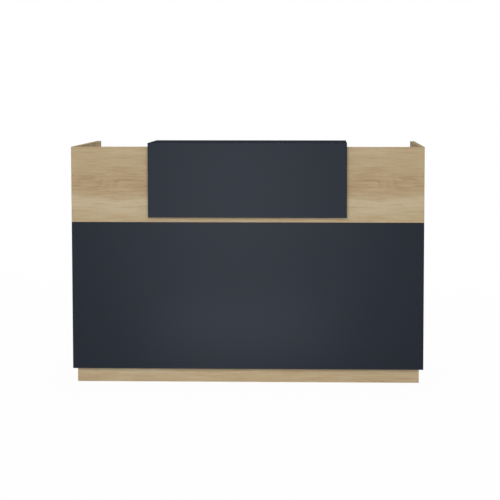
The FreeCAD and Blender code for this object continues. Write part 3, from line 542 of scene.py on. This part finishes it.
def new_tree(name, *sizes):
    """An empty node tree for a fixing, with inputs for its seats, its finish and its sizes."""
    tree = bpy.data.node_groups.new(name, "GeometryNodeTree")
    tree.interface.new_socket("Fixings", in_out="OUTPUT", socket_type="NodeSocketGeometry")
    tree.interface.new_socket("Seats", in_out="INPUT", socket_type="NodeSocketGeometry")
    tree.interface.new_socket("Finish", in_out="INPUT", socket_type="NodeSocketMaterial")
    for size in sizes:
        socket = tree.interface.new_socket(size, in_out="INPUT", socket_type="NodeSocketFloat")
        socket.subtype = "DISTANCE"
    return tree, add(tree, "NodeGroupInput").node.outputs


def turned(tree, outline, profile, run=0, rings=0):
    """A turned shape about Z. The outline gives heights and radii from its foot up, the profile is what is
    turned, and the run of the outline that starts at a given point is cut into so many more rings."""
    index = add(tree, "GeometryNodeInputIndex")
    picked = []
    for column in zip(*outline):
        pick = add(tree, "GeometryNodeIndexSwitch", {"Index": index}, data_type="FLOAT").node
        for _ in column[2:]:
            pick.index_switch_items.new()
        for socket, value in zip(pick.inputs[1:], column):
            if isinstance(value, bpy.types.NodeSocket):
                tree.links.new(value, socket)
            else:
                socket.default_value = value
        picked.append(pick.outputs[0])
    height, radius = picked
    line = add(tree, "GeometryNodeMeshLine", {"Count": len(outline)})
    path = add(tree, "GeometryNodeMeshToCurve", {"Mesh": line})
    place = add(tree, "ShaderNodeCombineXYZ", {"Z": height})
    path = add(tree, "GeometryNodeSetPosition", {"Geometry": path, "Position": place})
    path = add(tree, "GeometryNodeSetCurveRadius", {"Curve": path, "Radius": radius})
    on_run = add(
        tree, "FunctionNodeCompare", {"A_INT": index, "B_INT": run}, data_type="INT", operation="EQUAL"
    )
    cuts = add(tree, "GeometryNodeSwitch", {"Switch": on_run, "False": 0, "True": rings}, input_type="INT")
    path = add(tree, "GeometryNodeSubdivideCurve", {"Curve": path, "Cuts": cuts})
    scale = add(tree, "GeometryNodeInputRadius")
    return add(
        tree, "GeometryNodeCurveToMesh",
        {"Curve": path, "Profile Curve": profile, "Scale": scale, "Fill Caps": True},
    )


def threaded(tree, shape, low, high, pitch, radius, root):
    """Cuts a right-hand thread into a turned shape between two heights."""
    place = add(tree, "GeometryNodeInputPosition")
    parts = add(tree, "ShaderNodeSeparateXYZ", {"Vector": place}).node.outputs
    turn = add(tree, "ShaderNodeMath", {0: parts["Y"], 1: parts["X"]}, operation="ARCTAN2")
    rise = add(tree, "ShaderNodeMath", {0: parts["Z"], 1: pitch}, operation="DIVIDE")
    phase = add(tree, "ShaderNodeMath", {0: turn, 1: -1 / math.tau, 2: rise}, operation="MULTIPLY_ADD")
    flank = add(tree, "ShaderNodeMath", {0: phase, 1: 0.5}, operation="PINGPONG")
    deepest = add(tree, "ShaderNodeMath", {0: root, 1: radius}, operation="DIVIDE")
    share = add(
        tree, "ShaderNodeMapRange",
        {"Value": flank, "From Min": FLANK[0], "From Max": FLANK[1], "To Min": deepest, "To Max": 1.0},
    )
    scale = add(tree, "ShaderNodeCombineXYZ", {"X": share, "Y": share, "Z": 1.0})
    moved = add(tree, "ShaderNodeVectorMath", {0: place, 1: scale}, operation="MULTIPLY")
    above = add(tree, "FunctionNodeCompare", {"A": parts["Z"], "B": low}, operation="GREATER_THAN")
    below = add(tree, "FunctionNodeCompare", {"A": parts["Z"], "B": high}, operation="LESS_THAN")
    within = add(tree, "FunctionNodeBooleanMath", {0: above, 1: below}, operation="AND")
    return add(tree, "GeometryNodeSetPosition", {"Geometry": shape, "Selection": within, "Position": moved})


def seated(tree, shape, inputs):
    """Puts a fixing on each of its seats, along the seat's axis, as one plain mesh in its finish."""
    axis = add(tree, "GeometryNodeInputNamedAttribute", {"Name": "axis"}, data_type="FLOAT_VECTOR")
    turn = add(tree, "FunctionNodeAlignRotationToVector", {"Vector": axis}, axis="Z")
    placed = add(
        tree, "GeometryNodeInstanceOnPoints",
        {"Points": inputs["Seats"], "Instance": shape, "Rotation": turn},
    )
    whole = add(tree, "GeometryNodeRealizeInstances", {"Geometry": placed})
    dressed = add(tree, "GeometryNodeSetMaterial", {"Geometry": whole, "Material": inputs["Finish"]})
    add(tree, "NodeGroupOutput", {0: dressed})
    return tree


def screw_tree():
    """A pan-head screw with a cross recess, a full thread and a point."""
    tree, size = new_tree(
        "pan_head_screw", "Length", "Head Radius", "Head Height", "Head Round", "Radius", "Root", "Pitch",
        "Point", "Recess", "Recess Slot", "Recess Depth",
    )
    rim = add(tree, "ShaderNodeMath", {0: size["Head Radius"], 1: size["Head Round"]}, operation="SUBTRACT")
    shoulder = add(tree, "ShaderNodeMath", {0: size["Head Round"], 1: HEAD_SHOULDER}, operation="MULTIPLY")
    crown = add(tree, "ShaderNodeMath", {0: size["Head Radius"], 1: shoulder}, operation="SUBTRACT")
    neck = add(tree, "ShaderNodeMath", {0: size["Head Height"], 1: STEP}, operation="ADD")
    end = add(tree, "ShaderNodeMath", {0: size["Length"], 1: size["Point"]}, operation="SUBTRACT")
    outline = (
        (0.0, rim),
        (shoulder, crown),
        (size["Head Round"], size["Head Radius"]),
        (size["Head Height"], size["Head Radius"]),
        (neck, size["Radius"]),
        (end, size["Radius"]),
        (size["Length"], POINT_RADIUS),
    )
    grip = add(tree, "ShaderNodeMath", {0: end, 1: neck}, operation="SUBTRACT")
    turns = add(tree, "ShaderNodeMath", {0: grip, 1: size["Pitch"]}, operation="DIVIDE")
    rings = add(tree, "ShaderNodeMath", {0: turns, 1: FIXING_RINGS}, operation="MULTIPLY")
    profile = add(tree, "GeometryNodeCurvePrimitiveCircle", {"Resolution": FIXING_SIDES, "Radius": 1.0})
    shape = turned(tree, outline, profile, run=4, rings=rings)
    shape = threaded(tree, shape, size["Head Height"], end, size["Pitch"], size["Radius"], size["Root"])
    both_ways = add(tree, "ShaderNodeMath", {0: size["Recess Depth"], 1: 2.0}, operation="MULTIPLY")
    arms = []
    for x, y in ((size["Recess"], size["Recess Slot"]), (size["Recess Slot"], size["Recess"])):
        arm = add(tree, "ShaderNodeCombineXYZ", {"X": x, "Y": y, "Z": both_ways})
        arms.append(add(tree, "GeometryNodeMeshCube", {"Size": arm}))
    shape = add(
        tree, "GeometryNodeMeshBoolean", {"Mesh 1": shape, "Mesh 2": arms}, operation="DIFFERENCE",
        solver="MANIFOLD",
    )
    return seated(tree, shape, size)


def cam_bolt_tree():
    """A cam bolt from its head to its thread: head, neck that the cam grips, shank and coarse thread."""
    tree, size = new_tree(
        "cam_bolt", "Length", "Radius", "Neck", "Head", "Neck End", "Thread", "Thread Radius", "Thread Root",
        "Pitch",
    )
    broken = add(tree, "ShaderNodeMath", {0: size["Radius"], 1: BOLT_BREAK}, operation="SUBTRACT")
    head = add(tree, "ShaderNodeMath", {0: size["Head"], 1: STEP}, operation="ADD")
    neck = add(tree, "ShaderNodeMath", {0: size["Neck End"], 1: STEP}, operation="ADD")
    shank = add(tree, "ShaderNodeMath", {0: size["Length"], 1: size["Thread"]}, operation="SUBTRACT")
    start = add(tree, "ShaderNodeMath", {0: shank, 1: STEP}, operation="ADD")
    end = add(tree, "ShaderNodeMath", {0: size["Length"], 1: BOLT_LEAD}, operation="SUBTRACT")
    outline = (
        (0.0, broken),
        (BOLT_BREAK, size["Radius"]),
        (size["Head"], size["Radius"]),
        (head, size["Neck"]),
        (size["Neck End"], size["Neck"]),
        (neck, size["Radius"]),
        (shank, size["Radius"]),
        (start, size["Thread Radius"]),
        (end, size["Thread Radius"]),
        (size["Length"], size["Thread Root"]),
    )
    turns = add(tree, "ShaderNodeMath", {0: size["Thread"], 1: size["Pitch"]}, operation="DIVIDE")
    rings = add(tree, "ShaderNodeMath", {0: turns, 1: FIXING_RINGS}, operation="MULTIPLY")
    profile = add(tree, "GeometryNodeCurvePrimitiveCircle", {"Resolution": FIXING_SIDES, "Radius": 1.0})
    shape = turned(tree, outline, profile, run=7, rings=rings)
    shape = threaded(tree, shape, shank, end, size["Pitch"], size["Thread Radius"], size["Thread Root"])
    return seated(tree, shape, size)


def cam_cap_tree():
    """A cover cap with a rounded rim."""
    tree, size = new_tree("cam_cap", "Radius", "Height")
    outline = []
    for rise, inset in CAP_RIM:
        height = add(tree, "ShaderNodeMath", {0: size["Height"], 1: rise}, operation="MULTIPLY")
        radius = add(
            tree, "ShaderNodeMath", {0: size["Height"], 1: -inset, 2: size["Radius"]},
            operation="MULTIPLY_ADD",
        )
        outline.append((height, radius))
    profile = add(tree, "GeometryNodeCurvePrimitiveCircle", {"Resolution": CAP_SIDES, "Radius": 1.0})
    return seated(tree, turned(tree, outline, profile), size)


def dowel_tree():
    """A fluted wooden dowel with chamfered ends."""
    tree, size = new_tree("fluted_dowel", "Length", "Radius", "Root", "Chamfer")
    slim = add(tree, "ShaderNodeMath", {0: size["Radius"], 1: size["Chamfer"]}, operation="SUBTRACT")
    end = add(tree, "ShaderNodeMath", {0: size["Length"], 1: size["Chamfer"]}, operation="SUBTRACT")
    outline = (
        (0.0, slim), (size["Chamfer"], size["Radius"]), (end, size["Radius"]), (size["Length"], slim),
    )
    inner = add(tree, "ShaderNodeMath", {0: size["Root"], 1: size["Radius"]}, operation="DIVIDE")
    flutes = add(
        tree, "GeometryNodeCurveStar", {"Points": FLUTES, "Inner Radius": inner, "Outer Radius": 1.0}
    )
    return seated(tree, turned(tree, outline, flutes), size)


def adjuster_tree():
    """A foot's adjuster: a collar with finger grooves, a threaded spindle and the bore that the glide turns
    in."""
    tree, size = new_tree(
        "foot_adjuster", "Length", "Collar Radius", "Collar Height", "Collar Round", "Groove Radius",
        "Spindle Radius", "Spindle Root", "Pitch", "Chamfer", "Pin Bore", "Pin Depth",
    )
    slim, brim = (
        add(tree, "ShaderNodeMath", {0: size[whole], 1: size["Collar Round"]}, operation="SUBTRACT")
        for whole in ("Collar Radius", "Collar Height")
    )
    foot = add(tree, "ShaderNodeMath", {0: size["Collar Height"], 1: STEP}, operation="ADD")
    lead = add(tree, "ShaderNodeMath", {0: size["Length"], 1: size["Chamfer"]}, operation="SUBTRACT")
    tip = add(tree, "ShaderNodeMath", {0: size["Spindle Radius"], 1: size["Chamfer"]}, operation="SUBTRACT")
    outline = (
        (0.0, slim),
        (size["Collar Round"], size["Collar Radius"]),
        (brim, size["Collar Radius"]),
        (size["Collar Height"], slim),
        (foot, size["Spindle Radius"]),
        (lead, size["Spindle Radius"]),
        (size["Length"], tip),
    )
    grip = add(tree, "ShaderNodeMath", {0: lead, 1: foot}, operation="SUBTRACT")
    turns = add(tree, "ShaderNodeMath", {0: grip, 1: size["Pitch"]}, operation="DIVIDE")
    rings = add(tree, "ShaderNodeMath", {0: turns, 1: SPINDLE_RINGS}, operation="MULTIPLY")
    profile = add(tree, "GeometryNodeCurvePrimitiveCircle", {"Resolution": COLLAR_SIDES, "Radius": 1.0})
    shape = turned(tree, outline, profile, run=4, rings=rings)
    shape = threaded(
        tree, shape, size["Collar Height"], lead, size["Pitch"], size["Spindle Radius"], size["Spindle Root"]
    )
    through = add(tree, "ShaderNodeMath", {0: size["Collar Height"], 1: GROOVE_CUTTER}, operation="MULTIPLY")
    groove = add(
        tree, "GeometryNodeMeshCylinder",
        {"Vertices": GROOVE_SIDES, "Radius": size["Groove Radius"], "Depth": through},
    )
    circle = add(tree, "GeometryNodeMeshCircle", {"Vertices": GROOVES, "Radius": size["Collar Radius"]})
    grooves = add(tree, "GeometryNodeInstanceOnPoints", {"Points": circle, "Instance": groove})
    grooves = add(tree, "GeometryNodeRealizeInstances", {"Geometry": grooves})
    both_ways = add(tree, "ShaderNodeMath", {0: size["Pin Depth"], 1: 2.0}, operation="MULTIPLY")
    bore = add(
        tree, "GeometryNodeMeshCylinder",
        {"Vertices": BORE_SIDES, "Radius": size["Pin Bore"], "Depth": both_ways},
    )
    shape = add(
        tree, "GeometryNodeMeshBoolean", {"Mesh 1": shape, "Mesh 2": [grooves, bore]}, operation="DIFFERENCE",
        solver="MANIFOLD",
    )
    return seated(tree, shape, size)


def solids_of(node):
    """The vertex places of each separate solid in a CAD node."""
    copy = bmesh.new()
    copy.from_mesh(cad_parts[node].data)
    bmesh.ops.remove_doubles(copy, verts=copy.verts, dist=MERGED)
    left = set(copy.verts)
    solids = []
    while left:
        found = [left.pop()]
        for vertex in found:
            beside = {edge.other_vert(vertex) for edge in vertex.link_edges} & left
            left -= beside
            found.extend(beside)
        solids.append([vertex.co.copy() for vertex in found])
    copy.free()
    return solids


def seats_of(node):
    """Where each fixing of a CAD node starts, at its wider end, and which way it runs from there, and the
    length that all of them have."""
    seats = []
    for places in solids_of(node):
        low, high = (Vector(limit(p[i] for p in places) for i in range(3)) for limit in (min, max))
        size = high - low
        run = min(range(3), key=lambda i: abs(size[i - 1] - size[i - 2]))
        axis = Vector(float(i == run) for i in range(3))
        middle = (low + high) / 2
        ends = []
        for way in (axis, -axis):
            start = middle - way * size[run] / 2
            near = [p - start for p in places if abs((p - start)[run]) < END]
            width = sum((p - axis * p[run]).length for p in near) / len(near)
            ends.append((width, start, way))
        _, start, way = max(ends, key=lambda end: end[0])
        seats.append((start, way))
    return seats, size[run]


def grow(tree, seats, material, sizes, node, body):
    """Runs a fixing's tree on its seats, and puts the plain mesh that it gives in place of a CAD node."""
    points = bpy.data.meshes.new(node + "_seats")
    points.from_pydata([start for start, _ in seats], [], [])
    ways = points.attributes.new("axis", "FLOAT_VECTOR", "POINT")
    ways.data.foreach_set("vector", [share for _, way in seats for share in way])
    holder = bpy.data.objects.new(node + "_seats", points)
    bpy.context.scene.collection.objects.link(holder)
    modifier = holder.modifiers.new("fixings", "NODES")
    modifier.node_group = tree
    values = {"Finish": material, **sizes}
    for socket in tree.interface.items_tree:
        if socket.in_out == "INPUT" and socket.name in values:
            modifier[socket.identifier] = values[socket.name]
    mesh = bpy.data.meshes.new_from_object(holder.evaluated_get(bpy.context.evaluated_depsgraph_get()))
    bpy.data.objects.remove(holder)
    bpy.data.meshes.remove(points)
    if not mesh.polygons:
        raise RuntimeError("the node tree gave nothing for " + node)
    solid = bmesh.new()
    solid.from_mesh(mesh)
    bmesh.ops.remove_doubles(solid, verts=solid.verts, dist=MERGED)
    bmesh.ops.recalc_face_normals(solid, faces=solid.faces)
    for face in solid.faces:
        face.smooth = True
    for edge in solid.edges:
        edge.smooth = edge.is_manifold and edge.calc_face_angle() < SMOOTH_ANGLE
    solid.to_mesh(mesh)
    solid.free()
    mesh.name = node + "_made"
    piece = bpy.data.objects.new(node + "_made", mesh)
    bpy.context.scene.collection.objects.link(piece)
    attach(piece, body)
    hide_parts(node)


class DESK_OT_front_panels(bpy.types.Operator):
    """Oak on the upper front panel, graphite on the lower one, and their edge bands"""

    bl_idname = "desk.front_panels"
    bl_label = "Front Panels"

    def execute(self, context):
        finish(oak_melamine("oak_melamine_front", "X", "Y", bookmatched=True), "upper_front_panel")
        finish(oak_band("oak_band_front", "Y"), "upper_front_edging")
        finish(graphite_melamine("graphite_melamine_front", "Y"), "lower_front_panel")
        finish(graphite_band("graphite_band_front"), "lower_front_edging")
        return {"FINISHED"}


class DESK_OT_counter(bpy.types.Operator):
    """Graphite on the visitor's counter and oak on its two support panels"""

    bl_idname = "desk.counter"
    bl_label = "Counter"

    def execute(self, context):
        finish(graphite_melamine("graphite_melamine_fascia", "Y"), "counter_fascia")
        finish(graphite_melamine("graphite_melamine_shelf", "Z", dull=True), "counter_shelf")
        finish(graphite_band("graphite_band_counter"), "counter_fascia_edging", "counter_shelf_edging")
        oak = oak_melamine("oak_melamine_support", "Z", "X")
        finish(oak, "left_counter_support", "right_counter_support")
        finish(oak_band("oak_band_support", "X"), "left_support_edging", "right_support_edging")
        return {"FINISHED"}


class DESK_OT_gables(bpy.types.Operator):
    """Oak with upright grain on the two gables"""

    bl_idname = "desk.gables"
    bl_label = "Gables"

    def execute(self, context):
        finish(oak_melamine("oak_melamine_gable", "Z", "X"), "left_gable", "right_gable")
        finish(oak_band("oak_band_gable", "X"), "left_gable_edging", "right_gable_edging")
        return {"FINISHED"}


class DESK_OT_worktop(bpy.types.Operator):
    """Oak on the worktop and beech on the battens under it"""

    bl_idname = "desk.worktop"
    bl_label = "Worktop"

    def execute(self, context):
        finish(oak_melamine("oak_melamine_worktop", "X", "Z"), "worktop")
        finish(oak_band("oak_band_worktop", "Z"), "worktop_edging")
        finish(planed_beech("planed_beech_front", "X"), "worktop_batten_front")
        finish(planed_beech("planed_beech_side", "Y"), "worktop_batten_left", "worktop_batten_right")
        return {"FINISHED"}


class DESK_OT_base(bpy.types.Operator):
    """Oak on the base rails and the plinth"""

    bl_idname = "desk.base"
    bl_label = "Base"

    def execute(self, context):
        finish(oak_melamine("oak_melamine_plinth_front", "X", "Y"), "plinth_front")
        finish(oak_melamine("oak_melamine_plinth_side", "Y", "X"), "plinth_left", "plinth_right")
        finish(oak_band("oak_band_plinth", "X"), "plinth_edging")
        finish(oak_melamine("oak_melamine_rail_front", "X", "Z"), "base_rail_front")
        finish(oak_melamine("oak_melamine_rail_side", "Y", "Z"), "base_rail_left", "base_rail_right")
        finish(oak_band("oak_band_rail", "Z"), "base_rail_edging")
        return {"FINISHED"}


class DESK_OT_steelwork(bpy.types.Operator):
    """Powder coat on the stiffener rail and the cable tray, zinc on the base angles"""

    bl_idname = "desk.steelwork"
    bl_label = "Steelwork"

    def execute(self, context):
        look = context.scene.desk_finishes
        # powder coat: a dull skin with an orange-peel grain under a millimetre
        coat = grained("powder_coat_grey", look.powder, look.powder_dark, grain=0.9, roughness=(0.45, 0.6))
        finish(coat, "stiffener_rail", "cable_tray")
        finish(zinc_plated("zinc_plated_steel"), "base_angles")
        return {"FINISHED"}


class DESK_OT_cable_ports(bpy.types.Operator):
    """Moulded grey plastic on the cable ports"""

    bl_idname = "desk.cable_ports"
    bl_label = "Cable Ports"

    def execute(self, context):
        look = context.scene.desk_finishes
        # moulded ABS: a fine spark-eroded grain that takes the shine off
        plastic = grained(
            "moulded_abs_grey", look.port, look.graphite_light, grain=0.8, roughness=(0.42, 0.55)
        )
        finish(plastic, "left_port_liner", "right_port_liner", "left_port_cap", "right_port_cap")
        return {"FINISHED"}


class DESK_OT_feet(bpy.types.Operator):
    """Black polyamide on the levelling feet, with threaded adjusters"""

    bl_idname = "desk.feet"
    bl_label = "Feet"

    def execute(self, context):
        look = context.scene.desk_finishes
        made = context.scene.desk_fixings
        # glass-filled polyamide: dark, dull, with a faint mottle from the fibres
        plastic = grained("polyamide_black", look.foot, look.graphite, grain=0.8, roughness=(0.5, 0.65))
        tree = adjuster_tree()
        for place in FEET:
            finish(plastic, "foot_socket_" + place, "foot_glide_" + place)
            low, high = (Vector(corner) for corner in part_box("foot_adjuster_" + place))
            middle = (low + high) / 2
            seats = [(Vector((middle.x, middle.y, low.z)), Vector((0, 0, 1)))]
            sizes = {
                "Length": high.z - low.z, "Collar Radius": made.collar_radius,
                "Collar Height": made.collar_height, "Collar Round": made.collar_round,
                "Groove Radius": made.groove_radius,
                "Spindle Radius": made.spindle_radius, "Spindle Root": made.spindle_root,
                "Pitch": made.spindle_pitch, "Chamfer": made.spindle_chamfer,
                "Pin Bore": made.pin_bore, "Pin Depth": made.pin_depth,
            }
            grow(tree, seats, plastic, sizes, "foot_adjuster_" + place, "adjuster_" + place)
        return {"FINISHED"}


class DESK_OT_screws(bpy.types.Operator):
    """Zinc plated pan-head screws of the fascia, battens and fittings"""

    bl_idname = "desk.screws"
    bl_label = "Screws"

    def execute(self, context):
        made = context.scene.desk_fixings
        zinc = zinc_plated("zinc_plated_screw")
        tree = screw_tree()
        sizes = {
            "Head Radius": made.head_radius, "Head Height": made.head_height, "Head Round": made.head_round,
            "Radius": made.screw_radius, "Root": made.screw_root, "Pitch": made.screw_pitch,
            "Point": made.screw_point, "Recess": made.recess, "Recess Slot": made.recess_slot,
            "Recess Depth": made.recess_depth,
        }
        for held in ("fascia", "batten", "angle", "stiffener", "tray", "foot"):
            seats, sizes["Length"] = seats_of(held + "_screws")
            grow(tree, seats, zinc, sizes, held + "_screws", "desk")
        return {"FINISHED"}


class DESK_OT_cam_fittings(bpy.types.Operator):
    """Cam housings, bolts and cover caps that pull the boards together"""

    bl_idname = "desk.cam_fittings"
    bl_label = "Cam Fittings"

    def execute(self, context):
        look = context.scene.desk_finishes
        made = context.scene.desk_fixings
        # die-cast zinc: grey and dull, with flow marks in its skin
        casting = grained(
            "die_cast_zinc", look.die_cast, look.die_cast_dark, grain=1.0, roughness=(0.4, 0.55), metallic=1.0
        )
        finish(casting, "cam_housings")
        zinc = zinc_plated("zinc_plated_bolt")
        seats, reach = seats_of("cam_bolts")
        sizes = {
            "Length": reach, "Radius": made.bolt_radius, "Neck": made.bolt_neck, "Head": made.bolt_head,
            "Neck End": made.bolt_neck_end, "Thread": made.bolt_thread,
            "Thread Radius": made.bolt_thread_radius, "Thread Root": made.bolt_thread_root,
            "Pitch": made.bolt_pitch,
        }
        grow(cam_bolt_tree(), seats, zinc, sizes, "cam_bolts", "desk")
        # moulded plastic coloured to go with the oak: even and matt
        plastic = grained("cap_plastic_oak", look.cap, look.oak_brown, grain=0.8, roughness=(0.5, 0.62))
        seats, _ = seats_of("cam_caps")
        sizes = {"Radius": made.cap_radius, "Height": made.cap_height}
        grow(cam_cap_tree(), seats, plastic, sizes, "cam_caps", "desk")
        return {"FINISHED"}


class DESK_OT_dowels(bpy.types.Operator):
    """Fluted beech dowels in the seams and board joints"""

    bl_idname = "desk.dowels"
    bl_label = "Dowels"

    def execute(self, context):
        made = context.scene.desk_fixings
        beech = planed_beech("planed_beech_dowel", "Z")
        tree = dowel_tree()
        sizes = {"Radius": made.dowel_radius, "Root": made.dowel_root, "Chamfer": made.dowel_chamfer}
        for held in ("seam_dowels", "board_dowels"):
            seats, sizes["Length"] = seats_of(held)
            grow(tree, seats, beech, sizes, held, "desk")
        return {"FINISHED"}


def seen_share(tree, share):
    """1 for what is looked at, mirrored or seen through glass, times a share."""
    rays = add(tree, "ShaderNodeLightPath").node.outputs
    seen = add(
        tree, "ShaderNodeMath", {0: rays["Is Camera Ray"], 1: rays["Is Glossy Ray"]}, operation="MAXIMUM"
    )
    seen = add(tree, "ShaderNodeMath", {0: seen, 1: rays["Is Transmission Ray"]}, operation="MAXIMUM")
    return add(tree, "ShaderNodeMath", {0: seen, 1: share}, operation="MULTIPLY")


def studio_floor(stage):
    """A pale disc that fades out at its rim and lets the view through from below."""
    disc = bmesh.new()
    bmesh.ops.create_circle(disc, cap_ends=True, segments=FLOOR_SIDES, radius=stage.floor_radius)
    mesh = bpy.data.meshes.new("studio_floor")
    disc.to_mesh(mesh)
    disc.free()
    floor = bpy.data.objects.new("studio_floor", mesh)
    bpy.context.scene.collection.objects.link(floor)
    material, tree, shader = new_material("floor_paper")
    shader.inputs["Base Color"].default_value = stage.floor_paper
    shader.inputs["Roughness"].default_value = 0.8
    shader.inputs["Specular IOR Level"].default_value = 0.0
    output = next(n for n in tree.nodes if n.bl_idname == "ShaderNodeOutputMaterial")
    white = add(tree, "ShaderNodeEmission", {"Color": (1, 1, 1, 1), "Strength": 1.0})
    paper = add(
        tree, "ShaderNodeMixShader",
        {0: seen_share(tree, stage.floor_white), 1: shader.outputs["BSDF"], 2: white},
    )
    place = add(tree, "ShaderNodeTexCoord").node.outputs["Object"]
    reach = add(tree, "ShaderNodeVectorMath", {0: place}, operation="LENGTH")
    start, end = (stage.floor_radius * share for share in FLOOR_FADE)
    rim = add(
        tree, "ShaderNodeMapRange", {"Value": reach, "From Min": start, "From Max": end},
        interpolation_type="SMOOTHSTEP",
    )
    below = add(tree, "ShaderNodeNewGeometry").node.outputs["Backfacing"]
    gone = add(tree, "ShaderNodeMath", {0: rim, 1: below}, operation="MAXIMUM")
    clear = add(tree, "ShaderNodeBsdfTransparent")
    shown = add(tree, "ShaderNodeMixShader", {0: gone, 1: paper, 2: clear})
    tree.links.new(shown, output.inputs["Surface"])
    mesh.materials.append(material)


def softbox(name, place, aim, size, power, mirrored=True, lit=True, spread=math.pi):
    """A rectangular lamp that isn't itself in the picture. One that isn't mirrored gives no glare, and one
    that isn't lit gives glare only. A grid narrows its spread."""
    light = bpy.data.lights.new(name, "AREA")
    light.shape = "RECTANGLE"
    light.size, light.size_y = size
    light.energy = power
    light.spread = spread
    lamp = bpy.data.objects.new(name, light)
    lamp.location = place
    lamp.rotation_euler = (Vector(aim) - Vector(place)).to_track_quat("-Z", "Y").to_euler()
    lamp.visible_camera = False
    lamp.visible_glossy = mirrored
    lamp.visible_diffuse = lit
    bpy.context.scene.collection.objects.link(lamp)


def studio_world(stage):
    """Even light all round, with plain white wherever the background is seen."""
    world = bpy.data.worlds.new("studio")
    world.use_nodes = True
    tree = world.node_tree
    tree.nodes.clear()
    ambient = add(tree, "ShaderNodeBackground", {"Color": (1, 1, 1, 1), "Strength": stage.ambient})
    white = add(tree, "ShaderNodeBackground", {"Color": (1, 1, 1, 1), "Strength": 1.0})
    sky = add(tree, "ShaderNodeMixShader", {0: seen_share(tree, 1.0), 1: ambient, 2: white})
    add(tree, "ShaderNodeOutputWorld", {"Surface": sky})
    bpy.context.scene.world = world


def studio_camera(stage):
    """The camera at the photograph's viewing angle."""
    lens = bpy.data.cameras.new("studio_camera")
    lens.lens = stage.lens
    lens.shift_x, lens.shift_y = stage.shift
    lens.clip_end = CAMERA_REACH
    camera = bpy.data.objects.new("studio_camera", lens)
    turn = Matrix.Rotation(stage.camera_pan, 4, "Z")
    turn @= Matrix.Rotation(math.pi / 2 + stage.camera_tilt, 4, "X")
    camera.matrix_world = Matrix.Translation(stage.camera_place) @ turn
    bpy.context.scene.collection.objects.link(camera)
    bpy.context.scene.camera = camera


class DESK_OT_stage(bpy.types.Operator):
    """Floor, softboxes, white surround and camera"""

    bl_idname = "desk.stage"
    bl_label = "Stage"

    def execute(self, context):
        stage = context.scene.desk_stage
        studio_floor(stage)
        studio_world(stage)
        for name, (place, aim, size, power, ways) in SOFTBOXES.items():
            softbox(name, place, aim, size, getattr(stage, power), **ways)
        studio_camera(stage)
        context.scene.view_settings.view_transform = "Standard"
        return {"FINISHED"}


OPERATORS = (
    DESK_OT_front_panels,
    DESK_OT_counter,
    DESK_OT_gables,
    DESK_OT_worktop,
    DESK_OT_base,
    DESK_OT_steelwork,
    DESK_OT_cable_ports,
    DESK_OT_feet,
    DESK_OT_screws,
    DESK_OT_cam_fittings,
    DESK_OT_dowels,
    DESK_OT_stage,
)


class DESK_PT_panel(bpy.types.Panel):
    """The desk's finishes, fixings and stage"""

    bl_idname = "DESK_PT_panel"
    bl_label = "Reception Desk"
    bl_space_type = "VIEW_3D"
    bl_region_type = "UI"
    bl_category = "Desk"

    def draw(self, context):
        for group in (context.scene.desk_finishes, context.scene.desk_fixings, context.scene.desk_stage):
            box = self.layout.box()
            for name in group.bl_rna.properties.keys():
                if name not in ("rna_type", "name"):
                    box.prop(group, name)
        for operator in OPERATORS:
            self.layout.operator(operator.bl_idname)


GROUPS = {"desk_finishes": DeskFinishes, "desk_fixings": DeskFixings, "desk_stage": DeskStage}


def register():
    for made in (*GROUPS.values(), *OPERATORS, DESK_PT_panel):
        bpy.utils.register_class(made)
    for name, group in GROUPS.items():
        setattr(bpy.types.Scene, name, PointerProperty(type=group))


def unregister():
    for name in GROUPS:
        delattr(bpy.types.Scene, name)
    for made in (DESK_PT_panel, *reversed(OPERATORS), *reversed(GROUPS.values())):
        bpy.utils.unregister_class(made)


def main():
    register()
    for operator in OPERATORS:
        getattr(bpy.ops.desk, operator.bl_idname.split(".")[1])()


if __name__ == "__main__":
    main()
